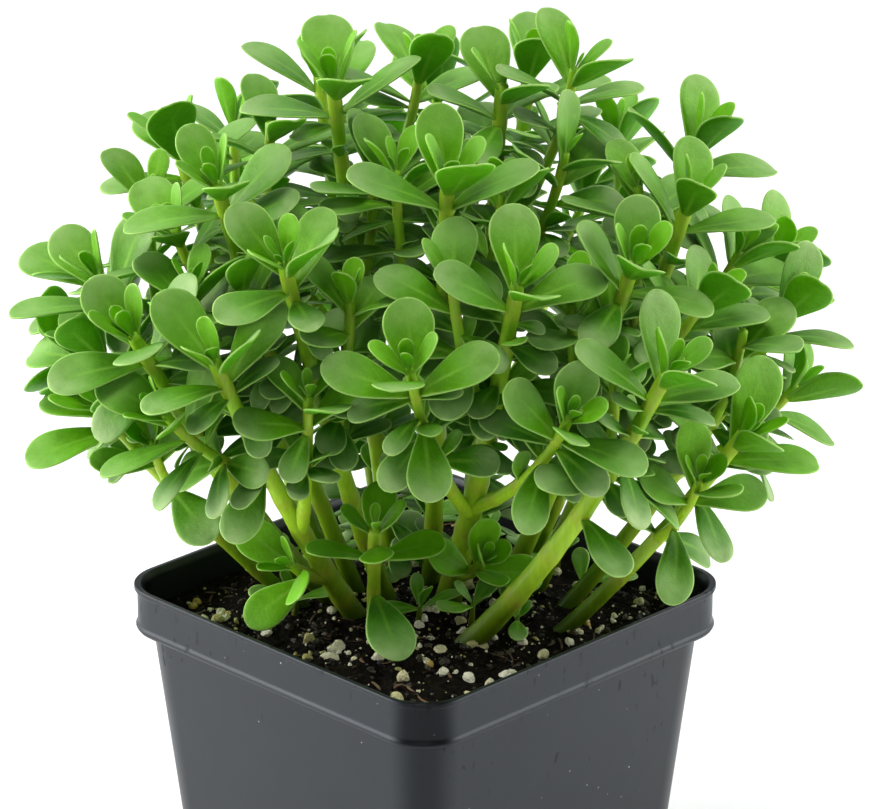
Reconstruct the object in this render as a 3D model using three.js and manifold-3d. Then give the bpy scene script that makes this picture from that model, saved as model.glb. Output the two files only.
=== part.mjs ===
// Potted portulaca: a bushy, fleshy-leaved bedding plant in a square nursery pot.
// Millimetres, +Z up. The origin is the middle of the pot's underside, with the pot's
// sides along X and Y. The plant is modelled in its own frame, turned by PLANT_TURN, so
// that its broad side looks over a corner of the pot: there x runs along the broad side,
// y away from it, and heights are measured from the pot's rim.
import * as THREE from 'three';
import { mergeVertices } from 'three/addons/utils/BufferGeometryUtils.js';
import Module from 'manifold-3d';

// ---------------------------------------------------------------- driving dimensions

// Pot: half the side over the flats, at the heights where the section changes.
const POT_HEIGHT = 92;
const POT_WALL = 1.2;
const POT_FLOOR = 1.6;
const FOOT_HALF = 39.3;
const FOOT_EDGE = 0.8;
const BODY_TOP_HALF = 46.85;
const BODY_TOP_Z = 80.4;
const COLLAR_HALF = 49.5;
const COLLAR_BOTTOM_Z = 81.9;
const LIP_HALF = 50;
const LIP_THICK = 1.3;
const LIP_EDGE = 0.4;
const COLLAR_EDGE = 0.65;
const CORNER_RADIUS = 11;
const CORNER_TIGHTENING = 0.15;
const CORNER_STEPS = 3;
const DRAIN_RADIUS = 4;
const DRAIN_OFFSET = 27;
const DRAIN_SIDES = 12;

// Clearance between neighbouring pieces.
const GAP = 0.3;

// Potting mix: its top lies SOIL_DROP under the rim and rises to a low mound. The two
// waves over it are given by their height and by radians for each millimetre of x and y.
const SOIL_DROP = 8;
const MOUND = 1.4;
const MOUND_SPREAD = 1200;
const SWELL = { height: 0.6, x: 0.21, y: 0.17, phaseX: 0.6, phaseY: -0.4 };
const RIPPLE = { height: 0.35, x: 0.47, y: 0.31 };
const SOIL_RINGS = 3;
const SOIL_CORNER = 11.5;
const SOIL_CORNER_STEPS = 2;
const GRAIN_COUNT = 22;
const GRAIN_SEED = 77;
const GRAIN_FIELD = 44;
const GRAIN_TO_STEM = 5.5;
const GRAIN_SIZE = [1, 2.1];
const GRAIN_SHOWS = 0.2;

// Plant: where its stems stand in the mix.
const PLANT_TURN = Math.PI / 4;
const SOIL_LEVEL = -SOIL_DROP;
const ROOT_DEPTH = 5;
const HOLE_UNDER = 1;
const HOLE_SPARE = 0.35;
const HOLE_RISE = 4;
const FOOT_SHARE = 0.06;

// Shoots: a main stem bends at a share of its rise, a side shoot at a share of its length
// outwards and down. Each has draws of its own, from a seed by its place in the list.
const CURVE_STEPS = 32;
const MAIN_TIP_RADIUS = 1.5;
const SIDE_TIP_RADIUS = 1.05;
const SIDE_RADIUS_SHARE = 0.75;
const SIDE_RADIUS_MOST = 1.7;
const MAIN_LEAN = 0.56;
const MAIN_BEND_RISE = 0.46;
const SIDE_BEND_OUT = 0.12;
const SIDE_BEND_DOWN = 0.07;
const MAIN_SEED = 1000;
const SIDE_SEED = 5000;
const STEM_SEED_STEP = 37;
const SIDE_SEED_STEP = 911;
const STEM_SIDES = 5;
const MAIN_STEPS = 6;
const SIDE_STEPS = 3;
const BUD_RISE = 1;
const SLIVER = 0.03;

// Leaves, and the room that they keep from the mix, the pot's wall and each other. Leaves
// of one shoot meet at their feet, so there only the parts past OWN_LEAF_FREE of their
// length are compared, and past OWN_STEM_FREE with the stem itself.
const LEAF_THICK = 1.3;
const LEAF_CLEAR = 0.4;
const SOIL_CLEAR = 1.3;
const WALL_REACH = 43.5;
const WALL_TOP = 2.5;
const OWN_STEM_FREE = 0.4;
const OWN_LEAF_FREE = 0.3;
const MAIN_CAPSULES = 8;
const SIDE_CAPSULES = 5;
const LEAF_SHAPE = 1.9;
const OUTLINE = [0.42, 0.86];
const CREST = 0.6;
const FOOT_FROM_AXIS = 0.3;

// Degrees by which a leaf that looks away from the plant's middle opens further.
const OUTWARD_TILT = 7;

const FIRST_SPACING = [8.5, 11.5];
const NODE_SPACING = [12, 16];
const MAIN_LEAF = 20;
const SIDE_LEAF = 18;
const LOWER_WIDTH = 0.52;
const MAIN_BARE_SHARE = 0.16;
const SIDE_BARE_LENGTH = 5;

// Leaf pairs of a shoot's crown: distance under the tip, tilt from the shoot's axis in
// degrees, length, width as a share of the length, and how far a blade bends, in radians.
const CROWN = [
  { below: 8.5, tilt: 60, length: 21.5, share: 0.54, bend: [0.1, 0.45] },
  { below: 4.4, tilt: 36, length: 19.5, share: 0.55, bend: [0.1, 0.4] },
  { below: 1.6, tilt: 25, length: 13, share: 0.5, bend: [0.05, 0.2] },
];

// A leaf that would touch its neighbour tries these changes in turn: degrees round the
// stem, degrees of tilt, and a share of its length. It is left out if none is free.
const TRIES = [
  [0, 0, 1], [9, 0, 1], [-9, 0, 1], [0, -9, 1], [0, 9, 1], [16, -6, 1], [-16, -6, 1],
  [14, 10, 1], [-14, 10, 1], [0, -18, 1], [26, 0, 1], [-26, 0, 1],
  [0, 0, 0.82], [12, -8, 0.82], [-12, -8, 0.82], [24, 6, 0.82], [-24, 6, 0.82],
  [0, 18, 0.82], [0, -18, 0.82], [0, 0, 0.64], [16, -10, 0.64], [-16, -10, 0.64],
];

// Main stems: foot (x, y) in the mix, tip (x, y, z), radius at the foot, and turn of the
// crown's outer leaf pair in degrees. `lean` is how early a stem goes sideways, `open`
// tilts its crown's leaves further out, `scale` sizes them, and `pairs` is the number of
// leaf pairs under the crown, 2 if not given and 1 on a side shoot. Side shoots start at a
// share of the stem's length.
const STEMS = [
  { foot: [-13, 0], tip: [-45, -44, 71], radius: 2.7, turn: 42, sides: [
    { at: 0.6, tip: [-56, -38, 56], turn: 25, scale: 0.92 },
    { at: 0.42, tip: [-25, -40, 61], turn: 20, scale: 0.85, pairs: 0 },
    { at: 0.24, tip: [-30, -20, 13], turn: 10, scale: 0.85 },
  ] },
  { foot: [-24, 6], tip: [-72, -12, 48], radius: 1.8, turn: 25, pairs: 1, sides: [
    { at: 0.6, tip: [-60, -24, 44], turn: 10, scale: 0.8 },
  ] },
  { foot: [-18, 9], tip: [-63, -32, 72], radius: 2.2, turn: 20, sides: [
    { at: 0.62, tip: [-73, -8, 61], turn: 0, scale: 0.92 },
    { at: 0.55, tip: [-51, -22, 79], turn: 60, scale: 0.92 },
  ] },
  { foot: [-7, 8], tip: [-30, -38, 91], radius: 2.3, turn: 50, sides: [
    { at: 0.55, tip: [-16, -30, 80], turn: 70, scale: 0.85 },
    { at: 0.62, tip: [-41, -24, 82], turn: 30, scale: 0.92 },
  ] },
  { foot: [4, 8], tip: [20, -40, 87], radius: 3.2, turn: 20, sides: [
    { at: 0.36, tip: [-3, -52, 72], turn: -5, scale: 0.92 },
    { at: 0.38, tip: [31, -50, 60], turn: 5, scale: 0.85 },
    { at: 0.62, tip: [6, -38, 87], turn: -20, scale: 0.92 },
    { at: 0.16, tip: [13, -14, 11], turn: 25, scale: 0.75 },
  ] },
  { foot: [6, -15], tip: [52, -46, 69], radius: 2.9, turn: 22, lean: 0.62, pairs: 3, sides: [
    { at: 0.62, tip: [41, -34, 63], turn: 60, scale: 0.85 },
  ] },
  { foot: [27, -8], tip: [70, -22, 45], radius: 2, turn: 20, sides: [
    { at: 0.55, tip: [60, -34, 39], turn: 25, scale: 0.8 },
  ] },
  { foot: [16, 14], tip: [45, -30, 88], radius: 2.3, turn: 10, sides: [
    { at: 0.6, tip: [32, -24, 77], turn: 70, scale: 0.92 },
    { at: 0.6, tip: [61, -18, 75], turn: 20, scale: 0.92 },
  ] },
  { foot: [23, 12], tip: [58, -6, 94], radius: 2.1, turn: 10, sides: [
    { at: 0.62, tip: [70, 2, 79], turn: 30, scale: 0.92 },
    { at: 0.5, tip: [47, -4, 96], turn: 30, scale: 0.9 },
  ] },
  { foot: [28, 3], tip: [81, 2, 66], radius: 2, turn: 15, sides: [
    { at: 0.6, tip: [70, -16, 67], turn: 50, scale: 0.92 },
    { at: 0.5, tip: [84, 12, 43], turn: 30, scale: 0.92 },
  ] },
  { foot: [1, 18], tip: [5, -24, 105], radius: 2.2, turn: 15, sides: [
    { at: 0.6, tip: [-6, -10, 102], turn: 40, scale: 0.92 },
    { at: 0.6, tip: [17, -10, 97], turn: 60, scale: 0.9 },
  ] },
  { foot: [9, 24], tip: [17, 4, 117], radius: 2.2, turn: 25, scale: 0.92, sides: [
    { at: 0.7, tip: [33, 10, 119], turn: 35, scale: 0.92 },
    { at: 0.6, tip: [31, 2, 102], turn: 50, scale: 0.92, pairs: 0 },
  ] },
  { foot: [-6, 22], tip: [-20, 0, 119], radius: 2.2, turn: 10, sides: [
    { at: 0.7, tip: [-1, 14, 118], turn: 30, scale: 0.92 },
    { at: 0.6, tip: [-11, -4, 103], turn: 60, scale: 0.92, pairs: 0 },
  ] },
  { foot: [-14, 13], tip: [-45, -18, 102], radius: 2.1, turn: 15, sides: [
    { at: 0.7, tip: [-34, 2, 109], turn: 30, scale: 0.92 },
    { at: 0.6, tip: [-55, -6, 87], turn: 25, scale: 0.92 },
  ] },
  { foot: [-24, 14], tip: [-72, -6, 76], radius: 2, turn: 20, sides: [
    { at: 0.66, tip: [-61, 8, 91], turn: 40, scale: 0.92 },
    { at: 0.6, tip: [-80, 6, 55], turn: 60, scale: 0.9 },
  ] },
  { foot: [-12, -13], tip: [-11, -24, 23], radius: 1.4, turn: 5, open: 14, scale: 0.8, sides: [] },
  { foot: [20, 22], tip: [62, 34, 94], radius: 2.2, turn: 20, sides: [
    { at: 0.62, tip: [44, 52, 90], turn: 60, scale: 0.92 },
    { at: 0.5, tip: [80, 26, 70], turn: 30, scale: 0.92 },
    { at: 0.36, tip: [74, 42, 42], turn: 70, scale: 0.92 },
  ] },
  { foot: [8, 30], tip: [24, 52, 106], radius: 2.2, turn: 10, sides: [
    { at: 0.62, tip: [2, 60, 98], turn: 30, scale: 0.92 },
    { at: 0.48, tip: [40, 66, 76], turn: 70, scale: 0.92 },
    { at: 0.32, tip: [30, 76, 44], turn: 20, scale: 0.92 },
  ] },
  { foot: [-8, 30], tip: [-24, 44, 106], radius: 2.2, turn: 70, sides: [
    { at: 0.6, tip: [-12, 68, 80], turn: 15, scale: 0.92 },
    { at: 0.48, tip: [-42, 62, 74], turn: 70, scale: 0.92 },
    { at: 0.32, tip: [-20, 76, 42], turn: 50, scale: 0.92 },
  ] },
  { foot: [-20, 22], tip: [-56, 32, 94], radius: 2.2, turn: 20, sides: [
    { at: 0.62, tip: [-44, 52, 92], turn: 60, scale: 0.92 },
    { at: 0.5, tip: [-78, 24, 66], turn: 30, scale: 0.92 },
    { at: 0.36, tip: [-66, 46, 42], turn: 0, scale: 0.92 },
  ] },
];

// ------------------------------------------------------------------------- helpers

const wasm = await Module();
wasm.setup();

// Pseudo-random draws from one seed, by the multiplicative rule state * 48271 mod 2^31 - 1.
class Draw {
  constructor(seed) {
    this.state = seed;
  }

  span(low, high) {
    this.state = (this.state * 48271) % 2147483647;
    return low + ((high - low) * this.state) / 2147483647;
  }
}

const vec = (x, y, z) => new THREE.Vector3(x, y, z);
const lerp = THREE.MathUtils.lerp;
const radians = THREE.MathUtils.degToRad;

function toSolid(geometry) {
  const bare = geometry.clone();
  bare.deleteAttribute('normal');
  bare.deleteAttribute('uv');
  const merged = mergeVertices(bare, 1e-4);
  return new wasm.Manifold(new wasm.Mesh({
    numProp: 3,
    vertProperties: new Float32Array(merged.attributes.position.array),
    triVerts: new Uint32Array(merged.index.array),
  }));
}

function toGeometry(solid) {
  const mesh = solid.getMesh();
  const geometry = new THREE.BufferGeometry();
  geometry.setAttribute('position', new THREE.BufferAttribute(mesh.vertProperties, 3));
  geometry.setIndex(new THREE.BufferAttribute(mesh.triVerts, 1));
  geometry.computeVertexNormals();
  return geometry;
}

// Drops the loose scraps that a cut leaves beside its main body.
function largestBody(solid) {
  return solid.decompose().reduce((most, body) => (body.volume() > most.volume() ? body : most));
}

function geometryOf(points, faces) {
  const geometry = new THREE.BufferGeometry().setFromPoints(points);
  geometry.setIndex(faces.flat());
  geometry.computeVertexNormals();
  return geometry;
}

// A closed skin over rings of equal count, each running anticlockwise when seen from the
// end that the rings run towards. `first` and `last` are the middle points of its caps.
function loft(rings, first, last) {
  const count = rings[0].length;
  const points = [...rings.flat(), first, last];
  const firstIndex = points.length - 2;
  const lastIndex = points.length - 1;
  const end = (rings.length - 1) * count;
  const faces = [];
  for (let i = 0; i < count; i += 1) {
    const next = (i + 1) % count;
    faces.push([firstIndex, next, i]);
    faces.push([lastIndex, end + i, end + next]);
    for (let base = 0; base < end; base += count) {
      faces.push([base + i, base + next, base + count + next]);
      faces.push([base + i, base + count + next, base + count + i]);
    }
  }
  return geometryOf(points, faces);
}

function material(color, roughness) {
  return new THREE.MeshStandardMaterial({ color, roughness, metalness: 0 });
}

function named(name, geometry, finish) {
  const mesh = new THREE.Mesh(geometry, finish);
  mesh.name = name;
  return mesh;
}

// ----------------------------------------------------------------------------- pot

// A square of half side `half` with rounded corners, as points on a level ring.
function roundedSquare(half, radius, z, steps = CORNER_STEPS) {
  const points = [];
  for (let corner = 0; corner < 4; corner += 1) {
    const middle = Math.PI / 4 + (corner * Math.PI) / 2;
    const reach = (half - radius) * Math.SQRT2;
    for (let step = 0; step <= steps; step += 1) {
      const angle = (corner + step / steps) * (Math.PI / 2);
      points.push(vec(
        reach * Math.cos(middle) + radius * Math.cos(angle),
        reach * Math.sin(middle) + radius * Math.sin(angle),
        z,
      ));
    }
  }
  return points;
}

// Half side of the outer body wall, which widens evenly from the foot to its top.
function bodyHalf(z) {
  return lerp(FOOT_HALF, BODY_TOP_HALF, z / BODY_TOP_Z);
}

// The pot's section runs up its outside, over the lip and down its inside. Each ring's
// corner is a little tighter than the lip's where the pot is narrower.
function potShell() {
  const lipLow = POT_HEIGHT - LIP_THICK;
  const inner = [
    [LIP_HALF - LIP_EDGE, POT_HEIGHT],
    [LIP_HALF - POT_WALL, POT_HEIGHT],
    [COLLAR_HALF - POT_WALL, lipLow],
    [COLLAR_HALF - POT_WALL, COLLAR_BOTTOM_Z + GAP],
    [BODY_TOP_HALF - POT_WALL, BODY_TOP_Z + GAP],
    [bodyHalf(POT_FLOOR) - POT_WALL, POT_FLOOR],
  ];
  const outer = [
    [FOOT_HALF - FOOT_EDGE, 0],
    [FOOT_HALF, FOOT_EDGE],
    [BODY_TOP_HALF, BODY_TOP_Z],
    [COLLAR_HALF - COLLAR_EDGE, COLLAR_BOTTOM_Z - COLLAR_EDGE],
    [COLLAR_HALF, COLLAR_BOTTOM_Z],
    [COLLAR_HALF, lipLow - LIP_EDGE],
    [LIP_HALF, lipLow],
    [LIP_HALF, POT_HEIGHT - LIP_EDGE],
  ];
  const rings = [...outer, ...inner].map(([half, z]) => (
    roundedSquare(half, CORNER_RADIUS - (LIP_HALF - half) * CORNER_TIGHTENING, z)
  ));
  return loft(rings, vec(0, 0, 0), vec(0, 0, POT_FLOOR));
}

function drainHole(x, y) {
  const drill = new THREE.CylinderGeometry(DRAIN_RADIUS, DRAIN_RADIUS, 4 * POT_FLOOR, DRAIN_SIDES);
  drill.rotateX(Math.PI / 2);
  drill.translate(x, y, 0);
  return toSolid(drill);
}

function makePot() {
  let pot = toSolid(potShell());
  for (const x of [-DRAIN_OFFSET, DRAIN_OFFSET]) {
    for (const y of [-DRAIN_OFFSET, DRAIN_OFFSET]) {
      pot = pot.subtract(drainHole(x, y));
    }
  }
  return toGeometry(pot);
}

// -------------------------------------------------------------------- potting mix

// Height of the mix over the pot's underside: a low mound with two crossing waves.
function soilHeight(x, y) {
  const mound = MOUND * Math.exp(-(x * x + y * y) / MOUND_SPREAD);
  const swell = SWELL.height * Math.sin(SWELL.x * x + SWELL.phaseX)
    * Math.cos(SWELL.y * y + SWELL.phaseY);
  const ripple = RIPPLE.height * Math.sin(RIPPLE.x * x + RIPPLE.y * y);
  return POT_HEIGHT - SOIL_DROP + mound + swell + ripple;
}

function soilBody() {
  const wall = POT_WALL + GAP;
  const radius = SOIL_CORNER;
  const rings = [
    roundedSquare(bodyHalf(POT_FLOOR) - wall, radius, POT_FLOOR + GAP, SOIL_CORNER_STEPS),
    roundedSquare(BODY_TOP_HALF - wall, radius, BODY_TOP_Z + 2 * GAP, SOIL_CORNER_STEPS),
    roundedSquare(COLLAR_HALF - wall, radius, COLLAR_BOTTOM_Z + 2 * GAP, SOIL_CORNER_STEPS),
  ];
  for (let ring = 0; ring < SOIL_RINGS; ring += 1) {
    const share = 1 - ring / SOIL_RINGS;
    rings.push(roundedSquare(COLLAR_HALF - wall, radius, 0, SOIL_CORNER_STEPS).map((p) => (
      vec(p.x * share, p.y * share, soilHeight(p.x * share, p.y * share))
    )));
  }
  return loft(rings, vec(0, 0, POT_FLOOR + GAP), vec(0, 0, soilHeight(0, 0)));
}

// A grain of perlite: an eight-sided pebble, pressed half into the mix.
function grain(draw, x, y) {
  const size = draw.span(...GRAIN_SIZE);
  const pebble = new THREE.OctahedronGeometry(size, 0);
  pebble.scale(1, draw.span(0.7, 1), draw.span(0.6, 0.9));
  pebble.rotateX(draw.span(0, Math.PI));
  pebble.rotateZ(draw.span(0, Math.PI));
  pebble.translate(x, y, soilHeight(x, y) + GRAIN_SHOWS * size);
  return toSolid(pebble);
}

// The mix with its grains, less one plain hole for each main stem. The feet are the
// places where the stems enter it, which the grains keep clear of.
function makeSoil(holes, feet) {
  let soil = toSolid(soilBody());
  const draw = new Draw(GRAIN_SEED);
  for (let placed = 0; placed < GRAIN_COUNT;) {
    const x = draw.span(-GRAIN_FIELD, GRAIN_FIELD);
    const y = draw.span(-GRAIN_FIELD, GRAIN_FIELD);
    if (feet.every((foot) => Math.hypot(foot.x - x, foot.y - y) > GRAIN_TO_STEM)) {
      soil = soil.add(grain(draw, x, y));
      placed += 1;
    }
  }
  return toGeometry(largestBody(holes.reduce((rest, hole) => rest.subtract(hole), soil)));
}

// -------------------------------------------------------------------------- shoots

// A shoot runs along a quadratic curve, with its radius tapering evenly from end to end.
class Shoot {
  constructor(stem, path, radii, traits) {
    this.stem = stem;
    this.path = path;
    this.radii = radii;
    Object.assign(this, traits);
    this.lengths = [0];
    for (let i = 1; i <= CURVE_STEPS; i += 1) {
      const step = this.point(i / CURVE_STEPS).distanceTo(this.point((i - 1) / CURVE_STEPS));
      this.lengths.push(this.lengths[i - 1] + step);
    }
    this.total = this.lengths[CURVE_STEPS];
    this.outward = vec(path[2].x, path[2].y, 0).normalize();
  }

  point(t) {
    const [a, b, c] = this.path;
    const u = 1 - t;
    return a.clone().multiplyScalar(u * u)
      .addScaledVector(b, 2 * u * t)
      .addScaledVector(c, t * t);
  }

  radius(t) {
    return lerp(this.radii[0], this.radii[1], t);
  }

  // Share of the curve at a distance along it, between its even steps.
  share(distance) {
    let i = 1;
    while (i < CURVE_STEPS && this.lengths[i] < distance) {
      i += 1;
    }
    const part = (distance - this.lengths[i - 1]) / (this.lengths[i] - this.lengths[i - 1]);
    return (i - 1 + part) / CURVE_STEPS;
  }

  // Directions along the shoot and across it, first to the broad side's left.
  frame(t) {
    const [a, b, c] = this.path;
    const along = b.clone().sub(a).multiplyScalar(1 - t);
    along.addScaledVector(c.clone().sub(b), t).normalize();
    const left = along.clone().cross(vec(0, 1, 0)).normalize();
    return { along, left, front: along.clone().cross(left) };
  }

  // Straight pieces between even steps, used to keep leaves off the shoot.
  capsules(steps) {
    const list = [];
    for (let i = 0; i < steps; i += 1) {
      const from = i / steps;
      const to = (i + 1) / steps;
      list.push({
        shoot: this,
        start: this.point(from),
        end: this.point(to),
        startRadius: this.radius(from),
        endRadius: this.radius(to),
      });
    }
    return list;
  }

  // Points round the shoot at a share of the curve.
  ring(t, sides, spare = 0) {
    const { left, front } = this.frame(t);
    return Array.from({ length: sides }, (_, k) => {
      const angle = (2 * Math.PI * k) / sides;
      return this.point(t)
        .addScaledVector(left, (this.radius(t) + spare) * Math.cos(angle))
        .addScaledVector(front, (this.radius(t) + spare) * Math.sin(angle));
    });
  }

  tube(steps, sides) {
    const rings = Array.from({ length: steps + 1 }, (_, i) => this.ring(i / steps, sides));
    const last = this.point(1).addScaledVector(this.frame(1).along, BUD_RISE);
    return loft(rings, this.point(0), last);
  }
}

function mainShoot(stem, index) {
  const { foot: [x, y], tip, radius, turn, lean = MAIN_LEAN } = stem;
  const { open = 0, scale = 1, pairs = 2 } = stem;
  const start = vec(x, y, SOIL_LEVEL - ROOT_DEPTH);
  const end = vec(...tip);
  const rise = lerp(start.z, end.z, MAIN_BEND_RISE);
  const bend = vec(lerp(x, end.x, lean), lerp(y, end.y, lean), rise);
  const seed = MAIN_SEED + STEM_SEED_STEP * index;
  const traits = { main: true, turn, open, scale, pairs, seed };
  return new Shoot(index, [start, bend, end], [radius, MAIN_TIP_RADIUS], traits);
}

function sideShoot(parent, index, order, side) {
  const { at, tip, turn, scale, pairs = 1 } = side;
  const start = parent.point(at);
  const end = vec(...tip);
  const length = start.distanceTo(end);
  const outward = vec(end.x - start.x, end.y - start.y, 0).normalize();
  const bend = start.clone().add(end).multiplyScalar(0.5);
  bend.addScaledVector(outward, SIDE_BEND_OUT * length);
  bend.z -= SIDE_BEND_DOWN * length;
  const radius = Math.min(SIDE_RADIUS_MOST, SIDE_RADIUS_SHARE * parent.radius(at));
  const seed = SIDE_SEED + STEM_SEED_STEP * index + SIDE_SEED_STEP * order;
  const traits = { main: false, turn, open: 0, scale, pairs, seed };
  return new Shoot(index, [start, bend, end], [radius, SIDE_TIP_RADIUS], traits);
}

function growShoots() {
  return STEMS.flatMap((stem, index) => {
    const main = mainShoot(stem, index);
    const sides = stem.sides.map((side, order) => sideShoot(main, index, order, side));
    return [main, ...sides];
  });
}

// -------------------------------------------------------------------------- leaves

// Places on a blade where its room is tested: shares of its length and of its half width.
const SAMPLE_GRID = [];
for (let i = 0; i < 8; i += 1) {
  for (const v of [-1, -0.5, 0, 0.5, 1]) {
    SAMPLE_GRID.push([0.22 + (0.78 * i) / 7, v]);
  }
}

// Half the width of a blade at a share s of its length: narrow foot, broad round end.
function halfWidth(s, widest) {
  const swell = Math.sin(Math.PI * THREE.MathUtils.clamp(s, 0, 1) ** LEAF_SHAPE);
  return widest * Math.sqrt(Math.max(swell, 0));
}

// A blade follows a circular arc from its foot, and its edges rise by `cup` of its width.
class Leaf {
  constructor(shoot, foot, form) {
    Object.assign(this, form);
    this.shoot = shoot;
    this.foot = foot;
    this.samples = SAMPLE_GRID.map(([s, v]) => ({ s, at: this.point(s, v) }));
    this.middle = vec(0, 0, 0);
    for (const { at } of this.samples) {
      this.middle.addScaledVector(at, 1 / this.samples.length);
    }
    this.reach = Math.max(...this.samples.map(({ at }) => at.distanceTo(this.middle)));
  }

  // Point of the blade's middle surface at s along it and v across it, -1 to 1.
  point(s, v, lift = 0) {
    const width = halfWidth(s, this.widest);
    const angle = this.bend * s;
    const out = (this.length * Math.sin(angle)) / this.bend;
    const drop = (this.length * (1 - Math.cos(angle))) / this.bend;
    return this.foot.clone()
      .addScaledVector(this.outward, out)
      .addScaledVector(this.across, v * width)
      .addScaledVector(this.upward, this.cup * width * v * v - drop + lift);
  }

  // Whether one of the points lies within the clearance of the blade.
  holds(points) {
    const half = LEAF_THICK / 2 + LEAF_CLEAR;
    const end = (this.length * Math.sin(this.bend)) / this.bend + LEAF_CLEAR;
    return points.some((point) => {
      const q = point.clone().sub(this.foot);
      const x = q.dot(this.outward);
      if (x <= 0 || x >= end) {
        return false;
      }
      const y = q.dot(this.across);
      const turned = THREE.MathUtils.clamp((x * this.bend) / this.length, -1, 1);
      const s = Math.asin(turned) / this.bend;
      const width = halfWidth(THREE.MathUtils.clamp(s, 0.02, 0.985), this.widest);
      const drop = (this.length * (1 - Math.cos(this.bend * s))) / this.bend;
      const level = (this.cup * y * y) / Math.max(width, 0.5) - drop;
      return Math.abs(y) < width + LEAF_CLEAR && Math.abs(q.dot(this.upward) - level) < half;
    });
  }

  // A closed lens: its outline, with a crest point over and under the blade's middle. The
  // foot is flat on top, between the first two points of the outline.
  solid() {
    const right = OUTLINE.map((s) => this.point(s, 1));
    const left = OUTLINE.map((s) => this.point(s, -1)).reverse();
    const rim = [this.point(0, 0), ...right, this.point(1, 0), ...left];
    const top = this.point(CREST, 0, LEAF_THICK / 2);
    const bottom = this.point(CREST, 0, -LEAF_THICK / 2);
    const count = rim.length;
    const faces = [[0, 1, count - 1], [1, count, count - 1]];
    for (let i = 0; i < count; i += 1) {
      const next = (i + 1) % count;
      faces.push([next, i, count + 1]);
      if (i > 0 && next > 0) {
        faces.push([i, next, count]);
      }
    }
    return toSolid(geometryOf([...rim, top, bottom], faces));
  }
}

// Distance from a point to the skin of a straight tapered piece of stem.
function skinDistance(point, { start, end, startRadius, endRadius }) {
  const axis = end.clone().sub(start);
  const t = THREE.MathUtils.clamp(point.clone().sub(start).dot(axis) / axis.lengthSq(), 0, 1);
  return point.distanceTo(start.clone().addScaledVector(axis, t)) - lerp(startRadius, endRadius, t);
}

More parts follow.
